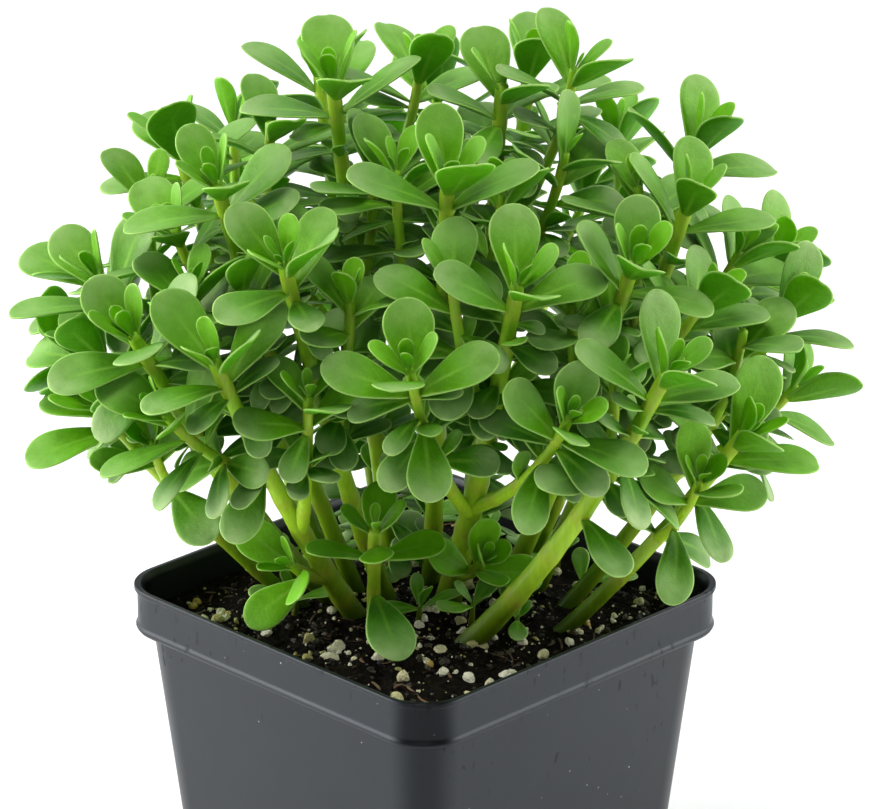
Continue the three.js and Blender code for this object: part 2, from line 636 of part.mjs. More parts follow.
// Leaves are set one by one, each clear of the stems, the leaves set before it, the mix
// and the pot's wall.
class Foliage {
  constructor(shoots) {
    this.shoots = shoots;
    this.leaves = [];
    this.capsules = shoots.flatMap((shoot) => (
      shoot.capsules(shoot.main ? MAIN_CAPSULES : SIDE_CAPSULES)
    ));
    this.draws = new Map(shoots.map((shoot) => [shoot, new Draw(shoot.seed)]));
  }

  blocked(leaf) {
    const all = leaf.samples.map(({ at }) => at);
    const outer = leaf.samples.filter(({ s }) => s > OWN_STEM_FREE).map(({ at }) => at);
    const touchesPot = all.some((p) => {
      const x = (p.x - p.y) * Math.SQRT1_2;
      const y = (p.x + p.y) * Math.SQRT1_2;
      const nearWall = Math.max(Math.abs(x), Math.abs(y)) > WALL_REACH && p.z < WALL_TOP;
      return nearWall || p.z < soilHeight(x, y) - POT_HEIGHT + SOIL_CLEAR;
    });
    if (touchesPot) {
      return true;
    }
    const skin = LEAF_CLEAR + LEAF_THICK / 2;
    for (const capsule of this.capsules) {
      const middle = capsule.start.clone().lerp(capsule.end, 0.5);
      const size = capsule.start.distanceTo(capsule.end) / 2 + capsule.startRadius;
      if (middle.distanceTo(leaf.middle) < leaf.reach + size + skin) {
        const points = capsule.shoot === leaf.shoot ? outer : all;
        if (points.some((p) => skinDistance(p, capsule) < skin)) {
          return true;
        }
      }
    }
    return this.leaves.some((other) => this.touching(leaf, other));
  }

  // Leaves of one shoot meet at their feet, so only their outer parts are compared.
  touching(leaf, other) {
    const near = leaf.reach + other.reach + LEAF_THICK;
    if (leaf.middle.distanceTo(other.middle) >= near) {
      return false;
    }
    const from = leaf.shoot === other.shoot ? OWN_LEAF_FREE : 0;
    const pick = (one) => one.samples.filter(({ s }) => s > from).map(({ at }) => at);
    return other.holds(pick(leaf)) || leaf.holds(pick(other));
  }

  add(shoot, distance, wish) {
    const t = shoot.share(distance);
    const { along, left, front } = shoot.frame(t);
    for (const [swing, tip, share] of TRIES) {
      const turn = radians(wish.turn + swing);
      const roll = radians(wish.roll);
      const side = left.clone().multiplyScalar(Math.cos(turn)).addScaledVector(front, Math.sin(turn));
      const tilt = radians(wish.tilt + tip + OUTWARD_TILT * side.dot(shoot.outward));
      const outward = along.clone().multiplyScalar(Math.cos(tilt)).addScaledVector(side, Math.sin(tilt));
      const level = along.clone().multiplyScalar(Math.sin(tilt)).addScaledVector(side, -Math.cos(tilt));
      const flank = outward.clone().cross(level);
      const upward = level.multiplyScalar(Math.cos(roll)).addScaledVector(flank, Math.sin(roll));
      const foot = shoot.point(t).addScaledVector(side, FOOT_FROM_AXIS * shoot.radius(t));
      const leaf = new Leaf(shoot, foot, {
        outward,
        upward,
        across: outward.clone().cross(upward),
        length: wish.length * share,
        widest: (wish.length * share * wish.width) / 2,
        bend: wish.bend,
        cup: wish.cup,
      });
      if (!this.blocked(leaf)) {
        this.leaves.push(leaf);
        return;
      }
    }
  }

  // One pair of the crown on every shoot, so that the outer pairs find room first.
  addCrownPair(rank) {
    const { below, tilt, length, share, bend } = CROWN[rank];
    for (const shoot of this.shoots) {
      const draw = this.draws.get(shoot);
      for (const half of [0, 180]) {
        this.add(shoot, shoot.total - below, {
          turn: shoot.turn + 90 * rank + half + draw.span(-12, 12),
          tilt: tilt + shoot.open + draw.span(-11, 11),
          length: length * shoot.scale * draw.span(0.9, 1.12),
          bend: draw.span(...bend),
          width: share * draw.span(0.94, 1.1),
          cup: draw.span(0.04, 0.22),
          roll: draw.span(-12, 12),
        });
      }
    }
  }

  // Pairs at the nodes under the crown, each turned a quarter from the last.
  addLowerPairs() {
    const starts = new Map(this.shoots.map((shoot) => (
      [shoot, shoot.total - CROWN[0].below - this.draws.get(shoot).span(...FIRST_SPACING)]
    )));
    for (const shoot of this.shoots) {
      const draw = this.draws.get(shoot);
      const lowest = shoot.main ? MAIN_BARE_SHARE * shoot.total : SIDE_BARE_LENGTH;
      let distance = starts.get(shoot);
      for (let node = 1; node <= shoot.pairs && distance > lowest; node += 1) {
        for (const half of [0, 180]) {
          this.add(shoot, distance, {
            turn: shoot.turn + 90 * node + half + draw.span(-14, 14),
            tilt: draw.span(64, 90),
            length: (shoot.main ? MAIN_LEAF : SIDE_LEAF) * draw.span(0.8, 1.12),
            width: LOWER_WIDTH * draw.span(0.94, 1.08),
            bend: draw.span(0.2, 0.7),
            cup: draw.span(0.04, 0.18),
            roll: draw.span(-14, 14),
          });
        }
        distance -= draw.span(...NODE_SPACING);
      }
    }
  }
}

// ------------------------------------------------------------------------ assembly

// One solid for a main stem with its side shoots and all their leaves.
function leafyStem(index, shoots, leaves) {
  const own = shoots.filter((shoot) => shoot.stem === index);
  const tubes = own.map((shoot) => (
    toSolid(shoot.tube(shoot.main ? MAIN_STEPS : SIDE_STEPS, STEM_SIDES))
  ));
  const blades = leaves.filter((leaf) => leaf.shoot.stem === index).map((leaf) => leaf.solid());
  return [...tubes, ...blades].reduce((whole, piece) => whole.add(piece)).simplify(SLIVER);
}

// The hole that a main stem stands in, in the pot's frame: a straight tapered bore from
// under the stem's foot to just over the mix.
function stemHole(shoot) {
  let reach = 0.1;
  while (shoot.point(reach).z < SOIL_LEVEL + HOLE_RISE) {
    reach += 0.05;
  }
  const foot = shoot.ring(0, STEM_SIDES, HOLE_SPARE).map((point) => (
    point.addScaledVector(shoot.frame(0).along, -HOLE_UNDER)
  ));
  const mouth = shoot.ring(reach, STEM_SIDES, HOLE_SPARE);
  const bottom = shoot.point(0).addScaledVector(shoot.frame(0).along, -HOLE_UNDER);
  const bore = loft([foot, mouth], bottom, shoot.point(reach));
  bore.rotateZ(PLANT_TURN);
  bore.translate(0, 0, POT_HEIGHT);
  return toSolid(bore);
}

function makePart() {
  const shoots = growShoots();
  const foliage = new Foliage(shoots);
  CROWN.forEach((_, rank) => foliage.addCrownPair(rank));
  foliage.addLowerPairs();

  const part = new THREE.Group();
  part.add(named('pot', makePot(), material(0x2c2e33, 0.45)));
  const mains = shoots.filter((shoot) => shoot.main);
  const up = vec(0, 0, 1);
  const feet = mains.map((shoot) => shoot.point(FOOT_SHARE).applyAxisAngle(up, PLANT_TURN));
  const mix = makeSoil(mains.map(stemHole), feet);
  part.add(named('potting_mix', mix, material(0x2a2019, 0.95)));

  const plant = new THREE.Group();
  plant.position.z = POT_HEIGHT;
  plant.rotation.z = PLANT_TURN;
  const green = material(0x5c9442, 0.5);
  STEMS.forEach((_, index) => {
    const name = `leafy_stem_${String(index + 1).padStart(2, '0')}`;
    plant.add(named(name, toGeometry(leafyStem(index, shoots, foliage.leaves)), green));
  });
  part.add(plant);
  return part;
}

export default makePart();
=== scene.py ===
"""Looks of a potted portulaca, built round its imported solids.

Lengths are in millimetres until a mesh is made, which turns them into metres. The plant
has a frame of its own: x runs along its broad side, y away from it, and heights are
measured from the pot's rim. PLANT_TURN and POT_HEIGHT set it in its pot.
"""

import sys

import logging
import math
from dataclasses import dataclass, field
from enum import Enum
from typing import Any, ClassVar, Sequence

import bmesh
import bpy
import numpy as np
from mathutils import Matrix, Vector


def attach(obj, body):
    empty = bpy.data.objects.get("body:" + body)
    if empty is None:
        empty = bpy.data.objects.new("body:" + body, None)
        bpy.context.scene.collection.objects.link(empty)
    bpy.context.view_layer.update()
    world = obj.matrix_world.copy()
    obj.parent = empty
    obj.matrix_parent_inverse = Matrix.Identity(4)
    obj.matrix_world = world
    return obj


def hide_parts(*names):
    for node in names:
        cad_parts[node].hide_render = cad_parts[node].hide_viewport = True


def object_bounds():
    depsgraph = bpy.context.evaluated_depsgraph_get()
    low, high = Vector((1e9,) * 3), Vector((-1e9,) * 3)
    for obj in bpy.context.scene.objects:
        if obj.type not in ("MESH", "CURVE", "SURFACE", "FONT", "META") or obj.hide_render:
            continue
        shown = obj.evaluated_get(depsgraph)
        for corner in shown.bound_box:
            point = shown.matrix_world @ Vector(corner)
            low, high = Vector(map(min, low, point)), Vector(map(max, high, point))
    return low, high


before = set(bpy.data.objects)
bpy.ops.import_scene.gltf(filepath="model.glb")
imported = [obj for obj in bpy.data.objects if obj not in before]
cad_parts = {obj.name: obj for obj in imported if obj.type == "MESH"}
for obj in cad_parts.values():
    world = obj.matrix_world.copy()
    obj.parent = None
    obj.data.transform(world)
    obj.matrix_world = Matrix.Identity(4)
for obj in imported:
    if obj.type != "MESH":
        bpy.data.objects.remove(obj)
CAD_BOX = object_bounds()

LOG = logging.getLogger("portulaca")
Array = np.ndarray
Colour = tuple[float, float, float]

MM = 0.001  # metres in a millimetre
GAP = 0.3  # clearance between neighbouring solids
POT_HEIGHT = 92.0  # the pot's rim over its foot
PLANT_TURN = math.pi / 4  # turn of the plant's frame in the pot's
SOIL_DROP = 8.0  # the mix's mean level under the rim
ROOT_DEPTH = 5.0  # the stems' ends under that level
FOOT_SHARE = 0.06  # share of a main stem at which it leaves the mix

MOUND = 1.4  # height of the mix's mound
MOUND_SPREAD = 1200  # twice the square of its half width
SWELL = 0.6  # height of its two crossing waves
RIPPLE = 0.35  # height of its short waves

LEAF_THICK = 1.3  # thickness that a grown leaf takes up
FULL_ROOM = 0.525  # room that it keeps to each side of its middle surface
SOIL_CLEAR = 1.3  # height over the mix under which no leaf hangs
WALL_REACH = 43.5  # half side of the square that leaves keep to
WALL_TOP = 2.5  # height over the rim up to which they keep to it
LEAF_SHAPE = 1.9  # exponent that moves a blade's widest part towards its tip


class Rank(Enum):
    """What a leaf pair is on its shoot, from the crown's outer pair inwards and down."""

    OUTER = 0
    SECOND = 1
    THIRD = 2
    BUD = 3
    HEART = 4
    LOWER = 5
    INNER = 6
    AXIL = 7
    FILL = 8
    SPROUT = 9


@dataclass(frozen=True)
class CrownPair:
    """A leaf pair of a shoot's crown.

    `below` is its distance under the tip, `tilt` its angle from the shoot's axis in
    degrees, `share` its width as a share of its length, and `bend` how far it bends.
    """

    below: float
    tilt: float
    length: float
    share: float
    bend: tuple[float, float]


CROWN = {
    Rank.OUTER: CrownPair(8.5, 60, 21.5, 0.54, (0.1, 0.45)),
    Rank.SECOND: CrownPair(4.4, 36, 19.5, 0.55, (0.1, 0.4)),
    Rank.THIRD: CrownPair(1.6, 25, 13.0, 0.5, (0.05, 0.2)),
    Rank.BUD: CrownPair(0.0, 15, 8.0, 0.44, (0.05, 0.2)),
    Rank.HEART: CrownPair(-0.6, 9, 4.6, 0.42, (0.05, 0.2)),
}

# Room that a leaf keeps to each side of its middle surface, less for thin young leaves.
ROOM = {Rank.BUD: 0.22, Rank.HEART: 0.15, Rank.AXIL: 0.25, Rank.INNER: 0.45, Rank.FILL: 0.35,
        Rank.SPROUT: 0.25}

# The two leaves of a pair, and the turn from one pair to the next, in degrees.
HALVES = (0, 180)
QUARTER = 90


@dataclass(frozen=True)
class Sprout:
    """A low young shoot at the mix: its foot, height, turn and the length of its leaves."""

    foot: tuple[float, float]
    height: float
    turn: float
    leaf: float


SPROUTS = (
    Sprout((-30, -2), 5.0, 8, 13.0), Sprout((-2, -8), 5.5, 25, 12.5),
    Sprout((10, -9), 6.5, 60, 12.0), Sprout((20, -13), 5.0, 100, 9.0),
    Sprout((35, 8), 4.5, 0, 12.0), Sprout((-32, 17), 5.5, 40, 12.0),
    Sprout((-3, 44), 5.0, 15, 12.0), Sprout((30, 22), 5.0, 70, 12.0),
    Sprout((14, 38), 4.5, 120, 10.0), Sprout((-17, 34), 4.5, 80, 11.0),
)

# A leaf that would touch its neighbour tries these changes in turn: degrees round the
# stem, degrees of tilt, and a share of its length. It is left out if none is free.
TRIES = (
    (0, 0, 1), (9, 0, 1), (-9, 0, 1), (0, -9, 1), (0, 9, 1), (16, -6, 1), (-16, -6, 1),
    (14, 10, 1), (-14, 10, 1), (0, -18, 1), (26, 0, 1), (-26, 0, 1),
    (0, 0, 0.82), (12, -8, 0.82), (-12, -8, 0.82), (24, 6, 0.82), (-24, 6, 0.82),
    (0, 18, 0.82), (0, -18, 0.82), (0, 0, 0.64), (16, -10, 0.64), (-16, -10, 0.64),
)


@dataclass(frozen=True)
class SideShoot:
    """A side shoot: its start as a share of the main stem, its tip, turn and leaf scale."""

    at: float
    tip: tuple[float, float, float]
    turn: float
    scale: float
    pairs: int = 1


@dataclass(frozen=True)
class MainStem:
    """A main stem: foot in the mix, tip, radius at the foot, turn of its crown, side shoots.

    `lean` is how early it goes sideways, `open` tilts its crown's leaves further out,
    `scale` sizes them, and `pairs` is the number of leaf pairs under the crown.
    """

    foot: tuple[float, float]
    tip: tuple[float, float, float]
    radius: float
    turn: float
    sides: tuple[SideShoot, ...]
    lean: float = 0.56
    open: float = 0
    scale: float = 1
    pairs: int = 2


STEMS = (
    MainStem((-13, 0), (-45, -44, 71), 2.7, 42, (
        SideShoot(0.6, (-56, -38, 56), 25, 0.92),
        SideShoot(0.42, (-25, -40, 61), 20, 0.85, pairs=0),
        SideShoot(0.24, (-30, -20, 13), 10, 0.85),
    )),
    MainStem((-24, 6), (-72, -12, 48), 1.8, 25, (
        SideShoot(0.6, (-60, -24, 44), 10, 0.8),
    ), pairs=1),
    MainStem((-18, 9), (-63, -32, 72), 2.2, 20, (
        SideShoot(0.62, (-73, -8, 61), 0, 0.92),
        SideShoot(0.55, (-51, -22, 79), 60, 0.92),
    )),
    MainStem((-7, 8), (-30, -38, 91), 2.3, 50, (
        SideShoot(0.55, (-16, -30, 80), 70, 0.85),
        SideShoot(0.62, (-41, -24, 82), 30, 0.92),
    )),
    MainStem((4, 8), (20, -40, 87), 3.2, 20, (
        SideShoot(0.36, (-3, -52, 72), -5, 0.92),
        SideShoot(0.38, (31, -50, 60), 5, 0.85),
        SideShoot(0.62, (6, -38, 87), -20, 0.92),
        SideShoot(0.16, (13, -14, 11), 25, 0.75),
    )),
    MainStem((6, -15), (52, -46, 69), 2.9, 22, (
        SideShoot(0.62, (41, -34, 63), 60, 0.85),
    ), lean=0.62, pairs=3),
    MainStem((27, -8), (70, -22, 45), 2, 20, (
        SideShoot(0.55, (60, -34, 39), 25, 0.8),
    )),
    MainStem((16, 14), (45, -30, 88), 2.3, 10, (
        SideShoot(0.6, (32, -24, 77), 70, 0.92),
        SideShoot(0.6, (61, -18, 75), 20, 0.92),
    )),
    MainStem((23, 12), (58, -6, 94), 2.1, 10, (
        SideShoot(0.62, (70, 2, 79), 30, 0.92),
        SideShoot(0.5, (47, -4, 96), 30, 0.9),
    )),
    MainStem((28, 3), (81, 2, 66), 2, 15, (
        SideShoot(0.6, (70, -16, 67), 50, 0.92),
        SideShoot(0.5, (84, 12, 43), 30, 0.92),
    )),
    MainStem((1, 18), (5, -24, 105), 2.2, 15, (
        SideShoot(0.6, (-6, -10, 102), 40, 0.92),
        SideShoot(0.6, (17, -10, 97), 60, 0.9),
    )),
    MainStem((9, 24), (17, 4, 117), 2.2, 25, (
        SideShoot(0.7, (33, 10, 119), 35, 0.92),
        SideShoot(0.6, (31, 2, 102), 50, 0.92, pairs=0),
    ), scale=0.92),
    MainStem((-6, 22), (-20, 0, 119), 2.2, 10, (
        SideShoot(0.7, (-1, 14, 118), 30, 0.92),
        SideShoot(0.6, (-11, -4, 103), 60, 0.92, pairs=0),
    )),
    MainStem((-14, 13), (-45, -18, 102), 2.1, 15, (
        SideShoot(0.7, (-34, 2, 109), 30, 0.92),
        SideShoot(0.6, (-55, -6, 87), 25, 0.92),
    )),
    MainStem((-24, 14), (-72, -6, 76), 2, 20, (
        SideShoot(0.66, (-61, 8, 91), 40, 0.92),
        SideShoot(0.6, (-80, 6, 55), 60, 0.9),
    )),
    MainStem((-12, -13), (-11, -24, 23), 1.4, 5, (), open=14, scale=0.8),
    MainStem((20, 22), (62, 34, 94), 2.2, 20, (
        SideShoot(0.62, (44, 52, 90), 60, 0.92),
        SideShoot(0.5, (80, 26, 70), 30, 0.92),
        SideShoot(0.36, (74, 42, 42), 70, 0.92),
    )),
    MainStem((8, 30), (24, 52, 106), 2.2, 10, (
        SideShoot(0.62, (2, 60, 98), 30, 0.92),
        SideShoot(0.48, (40, 66, 76), 70, 0.92),
        SideShoot(0.32, (30, 76, 44), 20, 0.92),
    )),
    MainStem((-8, 30), (-24, 44, 106), 2.2, 70, (
        SideShoot(0.6, (-12, 68, 80), 15, 0.92),
        SideShoot(0.48, (-42, 62, 74), 70, 0.92),
        SideShoot(0.32, (-20, 76, 42), 50, 0.92),
    )),
    MainStem((-20, 22), (-56, 32, 94), 2.2, 20, (
        SideShoot(0.62, (-44, 52, 92), 60, 0.92),
        SideShoot(0.5, (-78, 24, 66), 30, 0.92),
        SideShoot(0.36, (-66, 46, 42), 0, 0.92),
    )),
)


# ------------------ growth


class Draw:
    """Pseudo-random draws from one seed, by the rule state * FACTOR mod RANGE."""

    FACTOR = 48271
    RANGE = 2**31 - 1

    def __init__(self, seed: int) -> None:
        """Starts the draws at a seed."""
        self.state = seed

    def span(self, low: float, high: float) -> float:
        """The next draw, spread evenly from low to high."""
        self.state = self.state * self.FACTOR % self.RANGE
        return low + (high - low) * self.state / self.RANGE


def unit(vector: Array) -> Array:
    """A vector, or each of several, at length 1."""
    return vector / np.linalg.norm(vector, axis=-1, keepdims=True)


def soil_height(x: Array, y: Array) -> Array:
    """Height of the mix over the pot's underside: a low mound with crossing waves.

    Args:
        x: Places across the pot, in the pot's frame.
        y: Places along the pot.

    Returns:
        The heights: MOUND exp(-(x^2 + y^2) / MOUND_SPREAD), plus SWELL times a sine
        across and a cosine along, plus RIPPLE times a sine aslant.
    """
    mound = MOUND * np.exp(-(x * x + y * y) / MOUND_SPREAD)
    swell = SWELL * np.sin(0.21 * x + 0.6) * np.cos(0.17 * y - 0.4)
    ripple = RIPPLE * np.sin(0.47 * x + 0.31 * y)
    return POT_HEIGHT - SOIL_DROP + mound + swell + ripple


def to_pot(points: Array) -> Array:
    """Moves points from the plant's frame to the pot's.

    Args:
        points: Points in the plant's frame.

    Returns:
        The points turned by PLANT_TURN about the upright axis and lifted by POT_HEIGHT.
    """
    sine, cosine = math.sin(PLANT_TURN), math.cos(PLANT_TURN)
    x = points[..., 0] * cosine - points[..., 1] * sine
    y = points[..., 0] * sine + points[..., 1] * cosine
    return np.stack([x, y, points[..., 2] + POT_HEIGHT], axis=-1)


class Shoot:
    """A shoot along a quadratic curve, its radius tapering evenly from end to end."""

    STEPS = 32

    def __init__(self, stem: int, path: Sequence[Array], radii: tuple[float, float],
                 seed: int, main: bool, turn: float, scale: float,
                 open_out: float = 0, pairs: int = 1) -> None:
        """Measures the curve.

        Args:
            stem: Number of the main stem that it belongs to.
            path: The curve's start, bend and end.
            radii: Its radius at the start and at the end.
            seed: Seed of its own draws.
            main: Whether it is the main stem itself.
            turn: Turn of its crown's outer pair, in degrees.
            scale: Size of its crown's leaves.
            open_out: Degrees that its crown's leaves tilt further out.
            pairs: Leaf pairs under its crown in the first round.
        """
        self.stem = stem
        self.path = np.array(path, float)
        self.radii = radii
        self.draw = Draw(seed)
        self.main = main
        self.turn = turn
        self.scale = scale
        self.open_out = open_out
        self.pairs = pairs
        self.shares = np.linspace(0, 1, self.STEPS + 1)
        steps = np.linalg.norm(np.diff(self.point(self.shares), axis=0), axis=1)
        self.lengths = np.concatenate([[0], np.cumsum(steps)])
        self.total = float(self.lengths[-1])
        self.nodes: list[float] = []
        self.node = 1
        self.reached = 0.0
        self.outward = unit(self.path[2] * (1, 1, 0))

    def point(self, t: Array | float) -> Array:
        """Points of the curve.

        Args:
            t: Shares of the curve.

        Returns:
            (1 - t)^2 start + 2 (1 - t) t bend + t^2 end.
        """
        t = np.asarray(t, float)[..., None]
        start, bend, end = self.path
        return (1 - t) ** 2 * start + 2 * (1 - t) * t * bend + t * t * end

    def radius(self, t: Array | float) -> Array | float:
        """Radius at a share of the curve."""
        return self.radii[0] + (self.radii[1] - self.radii[0]) * t

    def share(self, distance: Array | float) -> Array | float:
        """Share of the curve at a distance along it, between its even steps."""
        return np.interp(distance, self.lengths, self.shares)

    def axes(self, t: Array | float) -> tuple[Array, Array, Array]:
        """Directions along the shoot and across it.

        Args:
            t: Shares of the curve.

        Returns:
            Along it, across it to the broad side's left, and across both.
        """
        t = np.asarray(t, float)[..., None]
        start, bend, end = self.path
        along = unit((1 - t) * (bend - start) + t * (end - bend))
        left = unit(np.cross(along, np.array([0.0, 1.0, 0.0])))
        return along, left, np.cross(along, left)


def half_width(s: Array, widest: Array | float) -> Array:
    """Half the width of a blade: widest * sqrt(sin(pi s^1.9)), narrow foot, round end."""
    swell = np.sin(np.pi * np.clip(s, 0, 1) ** LEAF_SHAPE)
    return widest * np.sqrt(np.maximum(swell, 0))


def sample_grid(first: float = 0.22, along: int = 8, across: int = 5) -> tuple[Array, Array]:
    """Places on a blade where its room is tested.

    Args:
        first: Share of the length at which they start.
        along: Their number along the blade.
        across: Their number across it.

    Returns:
        Shares of the length and of the half width.
    """
    s, v = np.meshgrid(np.linspace(first, 1.0, along), np.linspace(-1, 1, across), indexing="ij")
    return s.ravel(), v.ravel()


SAMPLE_S, SAMPLE_V = sample_grid()


@dataclass
class Blade:
    """A leaf blade on a circular arc from its foot, with edges that rise by `cup`."""

    ENDS: ClassVar = (0.02, 0.985)
    LEAST_HALF: ClassVar = 0.5

    shoot: Shoot
    rank: Rank
    foot: Array
    outward: Array
    upward: Array
    across: Array
    length: float
    widest: float
    bend: float
    cup: float
    room: float
    samples: Array = field(init=False)
    middle: Array = field(init=False)
    reach: float = field(init=False)

    def __post_init__(self) -> None:
        """Works out the sample points and the ball that holds them."""
        self.samples = self.point(SAMPLE_S, SAMPLE_V)
        self.middle = self.samples.mean(axis=0)
        self.reach = float(np.linalg.norm(self.samples - self.middle, axis=1).max())

    def point(self, s: Array, v: Array) -> Array:
        """Points of the middle surface at s along the blade and v across it.

        Args:
            s: Shares of the length, 0 at the foot.
            v: Shares of the half width, -1 to 1.

        Returns:
            foot + outward L sin(b s) / b + across v w + upward (cup w v^2 - L (1 - cos(b s)) / b).
        """
        width = half_width(s, self.widest)
        angle = self.bend * s
        out = self.length * np.sin(angle) / self.bend
        drop = self.length * (1 - np.cos(angle)) / self.bend
        rise = self.cup * width * v * v - drop
        return (self.foot + out[..., None] * self.outward
                + (v * width)[..., None] * self.across + rise[..., None] * self.upward)

    def holds(self, points: Array, room: float) -> bool:
        """Whether points of another blade lie too near to this one.

        Args:
            points: The other blade's sample points.
            room: The room that the other blade keeps to each side.

        Returns:
            True if any lies closer than both rooms together to the middle surface.
        """
        skin = self.room + room
        spare = max(skin - LEAF_THICK / 2, 0)
        q = points - self.foot
        x, y, z = q @ self.outward, q @ self.across, q @ self.upward
        s = np.arcsin(np.clip(x * self.bend / self.length, -1, 1)) / self.bend
        width = half_width(np.clip(s, *self.ENDS), self.widest)
        drop = self.length * (1 - np.cos(self.bend * s)) / self.bend
        level = self.cup * y * y / np.maximum(width, self.LEAST_HALF) - drop
        end = math.sin(self.bend) / self.bend * self.length + spare
        near = np.abs(z - level) < skin
        return bool((near & (np.abs(y) < width + spare) & (x > 0) & (x < end)).any())


@dataclass(frozen=True)
class Wish:
    """How a leaf would grow if nothing were in its way: degrees, millimetres and shares."""

    turn: float
    tilt: float
    length: float
    width: float
    bend: float
    cup: float
    roll: float


class Growth:
    """All shoots and their leaves, set one by one, each clear of what stands already."""

    # Seeds of the shoots' draws, and the steps from one shoot to the next.
    MAIN_SEED, SIDE_SEED, SPROUT_SEED = 1000, 5000, 9000
    STEM_STEP, SIDE_STEP, SPROUT_STEP = 37, 911, 53
    # A main stem bends at this share of its height. A side shoot bows out and sags by
    # shares of its length, and its radius is a share of the main stem's, up to a most.
    MAIN_RISE = 0.46
    SIDE_BOW, SIDE_SAG = 0.12, 0.07
    SIDE_SHARE, SIDE_MOST = 0.75, 1.7
    MAIN_TIP_RADIUS, SIDE_TIP_RADIUS = 1.5, 1.05
    # A sprout's radii at foot and tip, its root's length, its lean and its bow.
    SPROUT_RADII, SPROUT_ROOT = (0.8, 0.5), 1.5
    SPROUT_LEAN, SPROUT_BOW = (0.8, -0.6), (0.3, 0.3, 0)
    # Straight pieces that stand for a shoot where leaves are kept off it.
    MAIN_PIECES, SIDE_PIECES = 8, 5
    # Shares of a blade that may touch its own shoot, and its own shoot's other leaves.
    OWN_STEM_FREE, OWN_LEAF_FREE = 0.4, 0.3
    # A leaf's foot as a share of the radius, and how far an outer leaf tilts out.
    FOOT_FROM_AXIS = 0.3
    OUTWARD_TILT = 7.0
    MOST_BLADES = 4000
    # Leaves of the lower pairs, and where these start, follow each other and end.
    MAIN_LEAF, SIDE_LEAF = 20.0, 18.0
    INNER_SHARE = 0.72
    CROWN_GAP = (8.5, 11.5)
    PAIR_GAP = (12, 16)
    MAIN_BARE_SHARE = 0.16
    SIDE_BARE_LENGTH = 5.0
    # Lesser leaves stay over a slope outside the oval in which the stems stand close.
    LESSER = (Rank.INNER, Rank.AXIL, Rank.FILL)
    OVAL_MIDDLE, OVAL_HALF_WIDE, OVAL_HALF_DEEP = 25, 32, 17
    SLOPE_TOP, SLOPE_FALL = 42, 0.15
    # A sprout's pairs: distance under its tip, tilt, share of its leaves' length.
    SPROUT_PAIRS = ((0.6, 66, 1.0), (0.0, 24, 0.6))
    # An axil's leaf stands this far over the node.
    OVER_NODE = 0.8
    # The last pairs: where they start under the tip, follow each other and end.
    FILL_START, FILL_GAP, FILL_END = (9, 14), (5, 8), 6

    def __init__(self, stems: Sequence[MainStem]) -> None:
        """Grows the shoots, then the leaf pairs in the order in which they find room.

        Args:
            stems: The main stems.
        """
        self.shoots = [shoot for index, stem in enumerate(stems) for shoot in self.stem(index, stem)]
        self.blades: list[Blade] = []
        self.middles = np.zeros((self.MOST_BLADES, 3))
        self.reaches = np.zeros(self.MOST_BLADES)
        self.measure_shoots()
        for rank in (Rank.OUTER, Rank.SECOND, Rank.THIRD):
            self.crown_pair(rank)
        for shoot in self.shoots:
            below = CROWN[Rank.OUTER].below + shoot.draw.span(*self.CROWN_GAP)
            shoot.reached = shoot.total - below
        self.lower_pairs(Rank.LOWER)
        self.crown_pair(Rank.BUD)
        self.crown_pair(Rank.HEART)
        self.sprouts(len(stems))
        self.lower_pairs(Rank.INNER)
        self.axil_pairs()
        self.fill_in()

    def stem(self, index: int, stem: MainStem) -> list[Shoot]:
        """A main stem's own shoot and its side shoots.

        Args:
            index: The stem's place in the list.
            stem: What the list says of it.

        Returns:
            The main shoot first, then its side shoots in order.
        """
        foot = np.array([*stem.foot, -SOIL_DROP - ROOT_DEPTH])
        tip = np.array(stem.tip, float)
        bend = foot + np.array([stem.lean, stem.lean, self.MAIN_RISE]) * (tip - foot)
        main = Shoot(index, (foot, bend, tip), (stem.radius, self.MAIN_TIP_RADIUS),
                     self.MAIN_SEED + self.STEM_STEP * index, True, stem.turn, stem.scale,
                     stem.open, stem.pairs)
        shoots = [main]
        for order, side in enumerate(stem.sides):
            start = main.point(side.at)
            end = np.array(side.tip, float)
            length = float(np.linalg.norm(end - start))
            outward = unit((end - start) * (1, 1, 0))
            bow, sag = self.SIDE_BOW * length * outward, (0, 0, self.SIDE_SAG * length)
            bend = (start + end) / 2 + bow - sag
            radius = min(self.SIDE_MOST, self.SIDE_SHARE * main.radius(side.at))
            seed = self.SIDE_SEED + self.STEM_STEP * index + self.SIDE_STEP * order
            shoots.append(Shoot(index, (start, bend, end), (radius, self.SIDE_TIP_RADIUS), seed,
                                False, side.turn, side.scale, pairs=side.pairs))
        return shoots

    def measure_shoots(self) -> None:
        """Cuts the shoots into straight tapered pieces, to keep leaves off them."""
        starts, ends, radii, owners = [], [], [], []
        for number, shoot in enumerate(self.shoots):
            t = np.linspace(0, 1, 1 + (self.MAIN_PIECES if shoot.main else self.SIDE_PIECES))
            points, radius = shoot.point(t), shoot.radius(t)
            starts.append(points[:-1])
            ends.append(points[1:])
            radii.append(np.stack([radius[:-1], radius[1:]], axis=1))
            owners.append(np.full(len(t) - 1, number))
        self.starts, self.radii = np.concatenate(starts), np.concatenate(radii)
        self.runs = np.concatenate(ends) - self.starts
        self.owners = np.concatenate(owners)
        self.piece_middles = self.starts + self.runs / 2
        self.piece_reaches = np.linalg.norm(self.runs, axis=1) / 2 + self.radii[:, 0]

